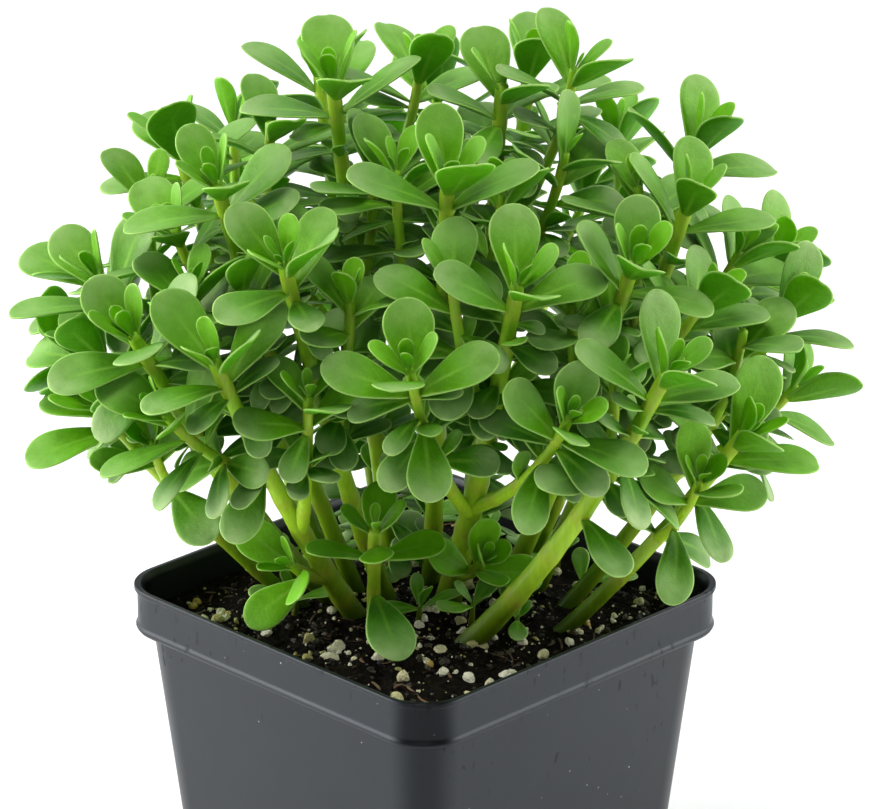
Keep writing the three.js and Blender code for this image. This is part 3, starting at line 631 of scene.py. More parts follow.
    def meets_pot(self, points: Array) -> bool:
        """Whether points lie in the mix or too near the pot's wall.

        Args:
            points: The points, in the plant's frame.

        Returns:
            True if any does.
        """
        x = (points[:, 0] - points[:, 1]) * math.sqrt(0.5)
        y = (points[:, 0] + points[:, 1]) * math.sqrt(0.5)
        wall = (np.maximum(np.abs(x), np.abs(y)) > WALL_REACH) & (points[:, 2] < WALL_TOP)
        return bool((wall | (points[:, 2] < soil_height(x, y) - POT_HEIGHT + SOIL_CLEAR)).any())

    def meets_shoots(self, blade: Blade, owner: int) -> bool:
        """Whether a blade's samples lie nearer to a shoot than their clearance.

        Args:
            blade: The blade to test.
            owner: Number of the shoot that it grows on, which it may touch near its foot.

        Returns:
            True if it has to give way.
        """
        skin = FULL_ROOM + blade.room
        away = np.linalg.norm(self.piece_middles - blade.middle, axis=1)
        near = away < blade.reach + self.piece_reaches + skin
        for own in (True, False):
            pick = near & ((self.owners == owner) == own)
            if not pick.any():
                continue
            points = blade.samples[SAMPLE_S > self.OWN_STEM_FREE] if own else blade.samples
            run, radii = self.runs[pick], self.radii[pick]
            offset = points[:, None] - self.starts[pick][None]
            t = np.clip((offset * run).sum(axis=2) / (run * run).sum(axis=1), 0, 1)
            gap = np.linalg.norm(offset - t[..., None] * run, axis=2)
            gap -= radii[:, 0] + (radii[:, 1] - radii[:, 0]) * t
            if (gap < skin).any():
                return True
        return False

    def meets_blades(self, blade: Blade) -> bool:
        """Whether a blade lies in the clearance of one set before, or the other way round.

        Args:
            blade: The blade to test.

        Returns:
            True if it has to give way.
        """
        count = len(self.blades)
        away = np.linalg.norm(self.middles[:count] - blade.middle, axis=1)
        for index in np.nonzero(away < blade.reach + self.reaches[:count] + LEAF_THICK)[0]:
            other = self.blades[index]
            free = self.OWN_LEAF_FREE if other.shoot is blade.shoot else 0
            pick = SAMPLE_S > free
            if (other.holds(blade.samples[pick], blade.room)
                    or blade.holds(other.samples[pick], other.room)):
                return True
        return False

    def hides_feet(self, points: Array) -> bool:
        """Whether a leaf would hide the bare feet of the stems.

        Args:
            points: Its sample points.

        Returns:
            True if any lies low and outside the oval in which the stems stand close.
        """
        x, y, z = points.T
        across, away = x / self.OVAL_HALF_WIDE, (y - self.OVAL_MIDDLE) / self.OVAL_HALF_DEEP
        outside = across**2 + away**2 > 1
        return bool((outside & (z < self.SLOPE_TOP - self.SLOPE_FALL * np.abs(x))).any())

    def add(self, owner: int, distance: float, wish: Wish, rank: Rank) -> None:
        """Sets a leaf as wished, or with the first change that finds room.

        Args:
            owner: Number of the shoot that it grows on.
            distance: Distance of its foot along the shoot.
            wish: How it would grow by itself.
            rank: What it is on the shoot.
        """
        shoot = self.shoots[owner]
        t = shoot.share(distance)
        along, left, front = shoot.axes(t)
        roll = math.radians(wish.roll)
        for swing, tip, share in TRIES:
            turn = math.radians(wish.turn + swing)
            side = math.cos(turn) * left + math.sin(turn) * front
            tilt = math.radians(wish.tilt + tip + self.OUTWARD_TILT * float(side @ shoot.outward))
            outward = math.cos(tilt) * along + math.sin(tilt) * side
            level = math.sin(tilt) * along - math.cos(tilt) * side
            upward = math.cos(roll) * level + math.sin(roll) * np.cross(outward, level)
            foot = shoot.point(t) + self.FOOT_FROM_AXIS * shoot.radius(t) * side
            blade = Blade(shoot, rank, foot, outward, upward, np.cross(outward, upward),
                          wish.length * share, wish.length * share * wish.width / 2,
                          wish.bend, wish.cup, ROOM.get(rank, FULL_ROOM))
            if rank in self.LESSER and self.hides_feet(blade.samples):
                continue
            if self.meets_pot(blade.samples) or self.meets_shoots(blade, owner):
                continue
            if not self.meets_blades(blade):
                self.middles[len(self.blades)] = blade.middle
                self.reaches[len(self.blades)] = blade.reach
                self.blades.append(blade)
                return

    def crown_pair(self, rank: Rank) -> None:
        """Sets one pair of the crown on every shoot, so that the outer pairs find room first.

        Args:
            rank: Which pair it is.
        """
        pair = CROWN[rank]
        for owner, shoot in enumerate(self.shoots):
            span = shoot.draw.span
            for half in HALVES:
                wish = Wish(
                    turn=shoot.turn + QUARTER * rank.value + half + span(-12, 12),
                    tilt=pair.tilt + shoot.open_out + span(-11, 11),
                    length=pair.length * shoot.scale * span(0.9, 1.12),
                    bend=span(*pair.bend), width=pair.share * span(0.94, 1.1),
                    cup=span(0.04, 0.22), roll=span(-12, 12))
                self.add(owner, shoot.total - pair.below, wish, rank)

    def lower_pairs(self, rank: Rank) -> None:
        """Pairs at the nodes under the crown, each turned a quarter from the last.

        The first round sets each shoot's own number of them. The second goes on down the
        shoot with smaller leaves, which fill the plant's inside.

        Args:
            rank: LOWER for the first round, INNER for the second.
        """
        for owner, shoot in enumerate(self.shoots):
            span = shoot.draw.span
            lowest = self.MAIN_BARE_SHARE * shoot.total if shoot.main else self.SIDE_BARE_LENGTH
            size = self.MAIN_LEAF if shoot.main else self.SIDE_LEAF
            last = shoot.node + shoot.pairs if rank is Rank.LOWER else math.inf
            while shoot.node < last and shoot.reached > lowest:
                shoot.nodes.append(shoot.reached)
                for half in HALVES:
                    turn = shoot.turn + QUARTER * shoot.node + half + span(-14, 14)
                    tilt = span(64, 90)
                    length = size * span(0.8, 1.12)
                    if rank is Rank.INNER:
                        length *= self.INNER_SHARE
                        tilt += span(-34, 10)
                    wish = Wish(turn=turn, tilt=tilt, length=length, width=0.52 * span(0.94, 1.08),
                                bend=span(0.2, 0.7), cup=span(0.04, 0.18), roll=span(-14, 14))
                    self.add(owner, shoot.reached, wish, rank)
                shoot.reached -= span(*self.PAIR_GAP)
                shoot.node += 1

    def sprouts(self, group: int) -> None:
        """Low young shoots at the mix, with two leaf pairs each.

        Args:
            group: Their number in place of a main stem's.
        """
        first = len(self.shoots)
        for order, sprout in enumerate(SPROUTS):
            foot = np.array([*sprout.foot, -SOIL_DROP - self.SPROUT_ROOT])
            tip = foot + np.array([*self.SPROUT_LEAN, sprout.height + self.SPROUT_ROOT])
            bend = (foot + tip) / 2 + self.SPROUT_BOW
            self.shoots.append(Shoot(group, (foot, bend, tip), self.SPROUT_RADII,
                                     self.SPROUT_SEED + self.SPROUT_STEP * order, False,
                                     sprout.turn, sprout.leaf))
        self.measure_shoots()
        for order, (below, tilt, share) in enumerate(self.SPROUT_PAIRS):
            for owner, shoot in enumerate(self.shoots[first:], first):
                span = shoot.draw.span
                for half in HALVES:
                    wish = Wish(
                        turn=shoot.turn + QUARTER * order + half + span(-15, 15),
                        tilt=tilt + span(-10, 10), length=shoot.scale * share * span(0.8, 1.15),
                        width=0.50 * span(0.9, 1.1), bend=span(0.1, 0.5), cup=0.12,
                        roll=span(-15, 15))
                    self.add(owner, shoot.total - below, wish, Rank.SPROUT)

    def axil_pairs(self) -> None:
        """Small young leaves that stand up from the feet of the lower leaves."""
        for owner, shoot in enumerate(self.shoots):
            span = shoot.draw.span
            for order, node in enumerate(shoot.nodes, 1):
                for half in HALVES:
                    wish = Wish(
                        turn=shoot.turn + QUARTER * order + half + span(-30, 30),
                        length=span(6, 12), tilt=span(28, 60), width=0.5,
                        bend=span(0.1, 0.4), cup=0.15, roll=span(-20, 20))
                    self.add(owner, node + self.OVER_NODE, wish, Rank.AXIL)

    def fill_in(self) -> None:
        """Sets further pairs all along the shoots, wherever the bush still has room."""
        for owner, shoot in enumerate(self.shoots):
            span = shoot.draw.span
            distance = shoot.total - span(*self.FILL_START)
            while distance > self.FILL_END:
                turn = span(0, 360)
                for half in HALVES:
                    wish = Wish(
                        turn=turn + half + span(-20, 20), tilt=span(55, 105),
                        length=span(10, 19), width=0.52 * span(0.9, 1.08),
                        bend=span(0.2, 0.7), cup=0.1, roll=span(-20, 20))
                    self.add(owner, distance, wish, Rank.FILL)
                distance -= span(*self.FILL_GAP)


# ------------------- skins

# A pebble's waves: how many, and how tightly they may run.
WAVES = 3
WAVE_NUMBERS = (1.5, 4.5)
# Cells along each side of the table that lattice noise repeats.
LATTICE = 256


@dataclass
class Skin:
    """A surface: points in millimetres, its faces, and marks on its points by name."""

    points: Array
    quads: Array
    tris: Array
    marks: dict[str, Array] = field(default_factory=dict)


def join(skins: Sequence[Skin]) -> Skin:
    """Several skins as one.

    Args:
        skins: The skins, all with the first one's marks.

    Returns:
        The skin that holds them all.
    """
    starts = np.cumsum([0] + [len(skin.points) for skin in skins[:-1]])
    return Skin(
        np.concatenate([skin.points for skin in skins]),
        np.concatenate([skin.quads + start for skin, start in zip(skins, starts)]),
        np.concatenate([skin.tris + start for skin, start in zip(skins, starts)]),
        {name: np.concatenate([skin.marks[name] for skin in skins]) for name in skins[0].marks},
    )


def tube_faces(rings: int, sides: int) -> tuple[Array, Array]:
    """Faces of a closed tube whose last two points are its first and last end.

    Args:
        rings: Number of rings, each anticlockwise seen from where the rings run to.
        sides: Points on each ring.

    Returns:
        The four-cornered faces between the rings and the three-cornered ones at the ends.
    """
    here = np.arange(sides)
    there = np.roll(here, -1)
    lower = np.stack([here, there, there + sides, here + sides], axis=1)
    quads = (np.arange(rings - 1)[:, None, None] * sides + lower).reshape(-1, 4)
    first, last = rings * sides, rings * sides + 1
    top = (rings - 1) * sides
    start = np.stack([np.full(sides, first), there, here], axis=1)
    end = np.stack([np.full(sides, last), top + here, top + there], axis=1)
    return quads, np.concatenate([start, end])


def tubes(rings: Array, ends: Array, marks: dict[str, Array]) -> Skin:
    """Closed tubes of equal build as one skin.

    Args:
        rings: Their points, by tube, ring and side.
        ends: Their two end points, by tube.
        marks: Marks by name, by tube and point, the ends last.

    Returns:
        The skin that holds them all.
    """
    count, ring_count, sides = rings.shape[:3]
    points = np.concatenate([rings.reshape(count, -1, 3), ends], axis=1)
    quads, tris = tube_faces(ring_count, sides)
    starts = np.arange(count)[:, None, None] * points.shape[1]
    flat = {name: mark.reshape(-1, mark.shape[-1]) for name, mark in marks.items()}
    return Skin(points.reshape(-1, 3), (quads + starts).reshape(-1, 4),
                (tris + starts).reshape(-1, 3), flat)


def pebble_pattern(detail: int) -> tuple[Array, Array]:
    """The ball that pebbles are shaped from.

    Args:
        detail: Its fineness, 1 for 80 faces and 2 for 320.

    Returns:
        Points and three-cornered faces of an icosphere of radius 1.
    """
    ball = bmesh.new()
    bmesh.ops.create_icosphere(ball, subdivisions=detail, radius=1.0)
    mesh = bpy.data.meshes.new("pebble_pattern")
    ball.to_mesh(mesh)
    ball.free()
    points = np.empty(3 * len(mesh.vertices), np.float32)
    mesh.vertices.foreach_get("co", points)
    tris = np.empty(len(mesh.loops), np.int32)
    mesh.loops.foreach_get("vertex_index", tris)
    bpy.data.meshes.remove(mesh)
    return points.reshape(-1, 3).astype(float), tris.reshape(-1, 3)


def pebbles(detail: int, places: Array, sizes: Array, lumps: float, rng: np.random.Generator,
            tints: Array) -> Skin:
    """Lumpy pebbles, each a ball whose radius swells and dips in WAVES waves of its own.

    Args:
        detail: Fineness of the balls, 1 for 80 faces and 2 for 320.
        places: Their middles.
        sizes: Their half extents along three axes of their own.
        lumps: Height of the waves as a share of the radius.
        rng: Source of their random waves and turns.
        tints: A number from 0 to 1 for each, for its colour.

    Returns:
        The skin, with the mark `kind` (tint, lumpiness, 0).
    """
    ball, tris = pebble_pattern(detail)
    count = len(places)
    waves = rng.uniform(*WAVE_NUMBERS, (count, WAVES, 1)) * unit(rng.normal(size=(count, WAVES, 3)))
    phases = rng.uniform(0, 2 * math.pi, (count, WAVES, 1))
    swell = np.sin(waves @ ball.T + phases).sum(axis=1)
    shaped = ball[None] * (1 + lumps * swell[..., None]) * sizes[:, None]
    turn, _ = np.linalg.qr(rng.normal(size=(count, 3, 3)))
    turn[:, :, 0] *= np.sign(np.linalg.det(turn))[:, None]
    points = places[:, None] + shaped @ turn.transpose(0, 2, 1)
    starts = np.arange(count)[:, None, None] * len(ball)
    kind = np.stack([np.repeat(tints, len(ball)), swell.ravel(), np.zeros(count * len(ball))], axis=1)
    return Skin(points.reshape(-1, 3), np.zeros((0, 4), int), (tris + starts).reshape(-1, 3),
                {"kind": kind})


def make_piece(name: str, skin: Skin, finish: bpy.types.Material,
               nodes: Sequence[str] = ()) -> bpy.types.Object:
    """Makes a skin a Blender object that rides on the part.

    Args:
        name: The piece's name.
        skin: Its surface, in the pot's frame and in millimetres.
        finish: Its material.
        nodes: CAD nodes that it stands for.

    Returns:
        The object, at the origin, with its place in its mesh.
    """
    mesh = bpy.data.meshes.new(name)
    mesh.vertices.add(len(skin.points))
    mesh.vertices.foreach_set("co", (skin.points * MM).ravel().astype(np.float32))
    corners = np.concatenate([skin.quads.ravel(), skin.tris.ravel()]).astype(np.int32)
    mesh.loops.add(len(corners))
    mesh.loops.foreach_set("vertex_index", corners)
    sizes = np.concatenate([np.full(len(skin.quads), 4), np.full(len(skin.tris), 3)])
    mesh.polygons.add(len(sizes))
    mesh.polygons.foreach_set("loop_start", (np.cumsum(sizes) - sizes).astype(np.int32))
    mesh.polygons.foreach_set("use_smooth", np.full(len(sizes), True))
    mesh.update(calc_edges=True)
    for mark, values in skin.marks.items():
        layer = mesh.attributes.new(mark, "FLOAT_VECTOR", "POINT")
        layer.data.foreach_set("vector", values.ravel().astype(np.float32))
    mesh.materials.append(finish)
    piece = bpy.data.objects.new(name, mesh)
    bpy.context.collection.objects.link(piece)
    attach(piece, "root")
    if nodes:
        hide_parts(*nodes)
    LOG.info("%s: %d points, %d faces", name, len(skin.points), len(sizes))
    return piece


def lattice_noise(x: Array, y: Array, cell: float, seed: int) -> Array:
    """Smooth random heights from -1 to 1, drawn on a square lattice and eased between.

    Args:
        x: Places along the first axis.
        y: Places along the second axis.
        cell: Side of the lattice's cells.
        seed: Seed of its draws.

    Returns:
        The height at each place, with t^2 (3 - 2 t) as the easing.
    """
    table = np.random.default_rng(seed).uniform(-1, 1, (LATTICE, LATTICE))
    u, v = x / cell + LATTICE // 2, y / cell + LATTICE // 2
    i, j = np.floor(u).astype(int), np.floor(v).astype(int)
    a, b = u - i, v - j
    a, b = a * a * (3 - 2 * a), b * b * (3 - 2 * b)
    i, j, next_i, next_j = (k % LATTICE for k in (i, j, i + 1, j + 1))
    near = table[i, j] * (1 - a) + table[next_i, j] * a
    far = table[i, next_j] * (1 - a) + table[next_i, next_j] * a
    return near * (1 - b) + far * b


# ----------------- shading


class Signal:
    """A shader socket that takes part in Python sums, products and blends."""

    def __init__(self, sheet: "Sheet", socket: bpy.types.NodeSocket) -> None:
        """Wraps an output socket of a sheet."""
        self.sheet = sheet
        self.socket = socket

    def math(self, operation: str, *others: Any) -> "Signal":
        """A Math node of this value and others."""
        values = dict(enumerate((self, *others)))
        return self.sheet.node("ShaderNodeMath", {"operation": operation}, values)

    def __add__(self, other: Any) -> "Signal":
        """This plus another."""
        return self.math("ADD", other)

    __radd__ = __add__

    def __mul__(self, other: Any) -> "Signal":
        """This times another."""
        return self.math("MULTIPLY", other)

    __rmul__ = __mul__

    def __sub__(self, other: Any) -> "Signal":
        """This less another."""
        return self.math("SUBTRACT", other)

    def __rsub__(self, other: float) -> "Signal":
        """A number less this."""
        return self.sheet.node("ShaderNodeMath", {"operation": "SUBTRACT"}, {0: other, 1: self})

    def rise(self, low: float, high: float, start: float = 0.0, end: float = 1.0) -> "Signal":
        """Eased from start to end as this goes from low to high, level outside."""
        return self.sheet.node("ShaderNodeMapRange", {"interpolation_type": "SMOOTHSTEP"}, {
            "Value": self, "From Min": low, "From Max": high, "To Min": start, "To Max": end})

    def parts(self) -> tuple["Signal", "Signal", "Signal"]:
        """The three numbers of a vector."""
        split = self.sheet.node("ShaderNodeSeparateXYZ", {}, {0: self}).socket.node
        return tuple(Signal(self.sheet, socket) for socket in split.outputs)


class Sheet:
    """A material's node tree, written as expressions."""

    # Numbers of a Mix node's sockets for two colours and for their mixture.
    MIX_FIRST, MIX_SECOND, MIX_RESULT = 6, 7, 2

    def __init__(self, name: str) -> None:
        """Starts an empty material with one Principled surface.

        Args:
            name: The material's name.
        """
        self.material = bpy.data.materials.new(name)
        self.material.use_nodes = True
        self.tree = self.material.node_tree
        self.tree.nodes.clear()
        self.surface = self.tree.nodes.new("ShaderNodeBsdfPrincipled")
        output = self.tree.nodes.new("ShaderNodeOutputMaterial")
        self.tree.links.new(self.surface.outputs[0], output.inputs["Surface"])

    def node(self, kind: str, settings: dict[str, Any], inputs: dict[Any, Any],
             output: int | str = 0) -> Signal:
        """Makes a node.

        Args:
            kind: Its Blender type.
            settings: What is set first, such as a Math node's operation; `stops` are a
                colour ramp's places and colours.
            inputs: Values or signals by the name or number of the socket.
            output: The socket that is handed back.

        Returns:
            The output as a signal.
        """
        made = self.tree.nodes.new(kind)
        for name, value in settings.items():
            if name == "stops":
                ramp = made.color_ramp.elements
                while len(ramp) < len(value):
                    ramp.new(1.0)
                for element, (place, colour) in zip(ramp, value):
                    element.position, element.color = place, (*colour, 1.0)
            else:
                setattr(made, name, value)
        for name, value in inputs.items():
            self.feed(made.inputs[name], value)
        return Signal(self, made.outputs[output])

    def feed(self, socket: bpy.types.NodeSocket, value: Any) -> None:
        """Links a signal to a socket, or sets the socket's own value.

        Args:
            socket: The input socket.
            value: A signal, or a number, a vector, or a colour of three numbers.
        """
        if isinstance(value, Signal):
            self.tree.links.new(value.socket, socket)
        elif isinstance(value, tuple) and len(value) == 3 and socket.type == "RGBA":
            socket.default_value = (*value, 1.0)
        else:
            socket.default_value = value

    def dress(self, **values: Any) -> None:
        """Sets the surface's sockets, named with _ for a blank."""
        for name, value in values.items():
            self.feed(self.surface.inputs[name.replace("_", " ")], value)

    def blend(self, mask: Any, low: Any, high: Any) -> Signal:
        """The colour low where the mask is 0 and high where it is 1."""
        return self.mix("MIX", mask, low, high)

    def shade(self, colour: Any, factor: Signal) -> Signal:
        """A colour times a number.

        Args:
            colour: The colour, as a value or a signal.
            factor: The number.

        Returns:
            The darker or lighter colour.
        """
        grey = self.node("ShaderNodeCombineColor", {}, {0: factor, 1: factor, 2: factor})
        return self.mix("MULTIPLY", 1.0, colour, grey)

    def mix(self, way: str, mask: Any, first: Any, second: Any) -> Signal:
        """Mixes two colours.

        Args:
            way: The Mix node's way of mixing.
            mask: How far the second colour counts, 0 to 1.
            first: The first colour.
            second: The second colour.

        Returns:
            The mixed colour.
        """
        settings = {"data_type": "RGBA", "blend_type": way}
        inputs = {0: mask, self.MIX_FIRST: first, self.MIX_SECOND: second}
        return self.node("ShaderNodeMix", settings, inputs, self.MIX_RESULT)

    def place(self, scale: tuple[float, float, float] = (1, 1, 1)) -> Signal:
        """Object coordinates in metres, stretched by a scale."""
        where = self.node("ShaderNodeTexCoord", {}, {}, "Object")
        return self.node("ShaderNodeMapping", {}, {"Vector": where, "Scale": scale})

    def mark(self, name: str) -> tuple[Signal, Signal, Signal]:
        """The three numbers of a mark on the piece's points."""
        return self.node("ShaderNodeAttribute", {"attribute_name": name}, {}, "Vector").parts()

    def noise(self, where: Signal, per_mm: float, detail: float = 2.0,
              roughness: float = 0.5) -> Signal:
        """Noise from 0 to 1, with a given number of cells in a millimetre."""
        return self.node("ShaderNodeTexNoise", {}, {
            "Vector": where, "Scale": per_mm / MM, "Detail": detail, "Roughness": roughness})

    def cells(self, where: Signal, per_mm: float) -> Signal:
        """Distance to the nearest of scattered points, in cells."""
        inputs = {"Vector": where, "Scale": per_mm / MM}
        return self.node("ShaderNodeTexVoronoi", {}, inputs, "Distance")

    def relief(self, height: Signal, depth_mm: float, strength: float = 1.0,
               under: Signal | None = None) -> Signal:
        """A surface normal bent by a height, for the surface's Normal.

        Args:
            height: The height, 0 to 1.
            depth_mm: What a height of 1 stands for.
            strength: Share of the bend that is used.
            under: A normal that was bent before, if there is one.

        Returns:
            The normal.
        """
        inputs = {"Height": height, "Distance": depth_mm * MM, "Strength": strength}
        if under is not None:
            inputs["Normal"] = under
        return self.node("ShaderNodeBump", {}, inputs)


@dataclass(frozen=True)
class LeafFinish:
    """Fleshy leaves: greyish green above with a pale bloom that is partly a painted sheen,
    fuller green below, pale rib and margin.

    Young leaves are a lighter green and deep ones, inside the bush and low down, a darker green
    that is partly painted shade. Sizes that end in _mm are from full to none, or cells in a
    millimetre where they end in per_mm.
    """

    name: str = "leaf"
    mature: Colour = (0.096, 0.318, 0.002)
    young: Colour = (0.130, 0.400, 0.001)
    deep: Colour = (0.030, 0.180, 0.001)
    under: Colour = (0.058, 0.280, 0.001)
    foot: Colour = (0.15, 0.37, 0.010)
    rib: Colour = (0.20, 0.44, 0.040)
    margin: Colour = (0.36, 0.57, 0.150)
    speck: Colour = (0.20, 0.36, 0.10)
    bloom_and_sheen: Colour = (0.315, 0.440, 0.190)
    grey: Colour = (0.088, 0.222, 0.034)
    rib_mm: tuple[float, float] = (0.08, 0.75)
    margin_mm: tuple[float, float] = (0.12, 0.52)
    vein_pairs: float = 9.0
    vein_slant: float = 0.55
    cloud_per_mm: float = 0.16
    mottle_per_mm: float = 0.5
    grain_per_mm: float = 2.2
    specks_per_mm: float = 1.5

    def make(self) -> bpy.types.Material:
        """Makes the material from two marks on the leaves' points.

        They are `place` (share of the length, across, distance to the edge, in millimetres)
        and `kind` (age from deep -1 to young 1, tint, upper face 1 to lower face -1).

        Returns:
            The material.
        """
        sheet = Sheet(self.name)
        along, across, edge = sheet.mark("place")
        age, tint, lift = sheet.mark("kind")
        where = sheet.place()
        cloud = sheet.noise(where, self.cloud_per_mm, 3.0)
        grain = sheet.noise(where, self.grain_per_mm, 2.0)
        mottle = sheet.noise(where, self.mottle_per_mm, 2.0)
        above = sheet.blend(age, self.mature, self.young)
        below = sheet.blend(age, self.under, self.young)
        upper = lift.rise(-0.35, 0.35)
        colour = sheet.blend(upper, below, above)
        colour = sheet.blend(tint.rise(0.42, 1.0, 0.0, 0.85) * upper * (1 - age), colour, self.grey)
        # Deep leaves take a darker green: partly the colour of older leaves, partly painted shade
        # inside the bush and low down.
        colour = sheet.blend(age.rise(-0.75, 0.25, 0.85, 0.0), colour, self.deep)
        tone = 0.30 + tint * 0.30 + cloud * 0.42 + grain * 0.30 + mottle * 0.34
        # Random tone, and darker towards the foot and a little lighter at the tip: the fall towards the
        # foot is painted shade where the leaf meets its stem.
        colour = sheet.shade(colour, tone * along.rise(0.0, 0.8, 0.78, 1.06))
        # Pale bloom on the upper faces toward the tips: partly the leaf's own wax, partly a painted
        # sheen.
        bloom_and_sheen = along.rise(0.40, 1.0, 0.0, 0.70) * cloud.rise(0.30, 0.70, 0.45, 1.0)
        colour = sheet.blend(bloom_and_sheen * upper * (1 - age), colour, self.bloom_and_sheen)
        specks = sheet.cells(where, self.specks_per_mm).rise(0.10, 0.26, 1.0, 0.0)
        colour = sheet.blend(specks * (0.32 - age * 0.18), colour, self.speck)
        aside = across.math("ABSOLUTE")
        veins = along * self.vein_pairs - aside * self.vein_slant + mottle * 0.5
        veins = veins.math("PINGPONG", 0.5).rise(0.0, 0.13, 0.12, 0.0)
        colour = sheet.blend(veins, colour, self.rib)
        strip = aside.rise(*self.rib_mm, 1.0, 0.0) * along.rise(0.40, 0.92, 0.56, 0.0)
        colour = sheet.blend(strip, colour, self.rib)
        colour = sheet.blend(along.rise(0.03, 0.30, 0.85, 0.0), colour, self.foot)
        colour = sheet.blend(edge.rise(*self.margin_mm, 0.64, 0.0), colour, self.margin)
        skin = sheet.relief(grain + mottle * 1.5, 0.10, 0.6)
        skin = sheet.relief(cloud, 0.8, 0.5, skin)
        sheet.dress(
            Base_Color=colour, Roughness=0.38 + grain * 0.14 + cloud * 0.08, Normal=skin,
            Subsurface_Weight=0.10, Subsurface_Radius=(0.9, 1.8, 0.2), Subsurface_Scale=MM,
            IOR=1.45, Specular_IOR_Level=0.35, Specular_Tint=(0.84, 1.0, 0.44, 1.0))
        return sheet.material


@dataclass(frozen=True)
class StemFinish:
    """Juicy stems: olive at the foot, light green above, fuller green inside the crown."""

    name: str = "stem"
    low: Colour = (0.125, 0.225, 0.002)
    high: Colour = (0.370, 0.620, 0.022)
    crown: Colour = (0.200, 0.430, 0.010)
    node: Colour = (0.400, 0.330, 0.045)

    def make(self) -> bpy.types.Material:
        """Makes the material from the mark `run` (share of the height, nearness to a node, 0).

        Returns:
            The material.
        """
        sheet = Sheet(self.name)
        height, node, _ = sheet.mark("run")
        where = sheet.place()
        streak = sheet.noise(sheet.place((1, 1, 0.12)), 0.9, 3.0)
        cloud = sheet.noise(where, 0.12, 2.0)
        colour = sheet.blend((height + cloud * 0.2 - 0.1).rise(0.02, 0.5), self.low, self.high)
        colour = sheet.blend(height.rise(0.45, 1.0, 0.0, 0.8), colour, self.crown)
        colour = sheet.blend(node * 0.30, colour, self.node)
        # Streaks, and darker in the lowest stretch where the stem enters the mix: painted shade.
        colour = sheet.shade(colour, (0.72 + streak * 0.56) * height.rise(0.0, 0.11, 0.45, 1.0))
        sheet.dress(
            Base_Color=colour, Roughness=0.34 + streak * 0.16,
            Normal=sheet.relief(streak, 0.12, 0.5),
            Subsurface_Weight=0.25, Subsurface_Radius=(1.0, 1.6, 0.3), Subsurface_Scale=MM,
            IOR=1.42, Specular_IOR_Level=0.4)
        return sheet.material


@dataclass(frozen=True)
class PotFinish:
    """Charcoal moulded plastic with a satin skin, faint scuffs and dust, and painted shade on its
    corners.

    The corners' painted shade starts `corner_edge` metres from the middle of both sides, and
    `taper` metres further out for each metre up. Scuffs gather in `patch` clouds, most on one side.
    """

    name: str = "pot_plastic"
    body: Colour = (0.0100, 0.0120, 0.0155)
    scuff_and_shade: Colour = (0.002, 0.002, 0.003)
    dust: Colour = (0.55, 0.56, 0.58)
    corner_edge: tuple[float, float] = (0.0308, 0.0353)
    taper: float = 0.093
    collar: tuple[float, float] = (0.078, 0.084)
    grain_per_mm: float = 3.5
    streaks_per_mm: float = 0.62
    streak_stretch: float = 0.36
    specks_per_mm: float = 0.30

    def make(self) -> bpy.types.Material:
        """Makes the material: mould grain, long scuffs, painted shade on the corners and specks of
        dust.

        Returns:
            The material.
        """
        sheet = Sheet(self.name)
        where = sheet.place()
        cloud = sheet.noise(where, 0.035, 3.0)
        grain = sheet.noise(where, self.grain_per_mm, 2.0)
        upright = sheet.place((1, 1, self.streak_stretch))
        streaks = sheet.noise(upright, self.streaks_per_mm, 2.0, 0.45)
        right, front, up = where.parts()
        # Painted shade and painted reflection: the corners are darkened, more so on the collar, and
        # made partly metallic, which dims their reflection.
        nearer = right.math("ABSOLUTE").math("MINIMUM", front.math("ABSOLUTE"))
        corner = (nearer - up * self.taper).rise(*self.corner_edge)
        corner = corner * up.rise(*self.collar, 0.6, 1.0)
        patch = sheet.noise(where, 0.045, 1.0) + right.rise(0.038, 0.045, 0.0, 0.10)
        patch = patch + up.rise(0.045, 0.080, -0.10, 0.06)
        scuffs = streaks.rise(0.63, 0.70) * patch.rise(0.58, 0.70)
        specks = sheet.cells(where, self.specks_per_mm)
        dust = specks.rise(0.03, 0.075, 1.0, 0.0) * sheet.noise(where, 0.05).rise(0.55, 0.62)
        colour = sheet.shade(self.body, 0.80 + cloud * 0.40)
        colour = sheet.blend(scuffs * 0.9, colour, self.scuff_and_shade)
        # Painted shade on the corners, in the scuffs' dark colour.
        colour = sheet.blend(corner * 0.7, colour, self.scuff_and_shade)
        colour = sheet.blend(dust, colour, self.dust)
        rough = 0.30 + cloud * 0.10 + grain * 0.05 + scuffs * 0.25 + dust * 0.3
        normal = sheet.relief(grain, 0.03, 0.35)
        sheet.dress(
            Base_Color=colour, Roughness=rough, Metallic=corner * 0.55,
            Normal=sheet.relief(cloud, 1.2, 0.25, normal),
            IOR=1.5, Specular_IOR_Level=0.40, Specular_Tint=(0.90, 0.96, 1.0, 1.0))
        return sheet.material


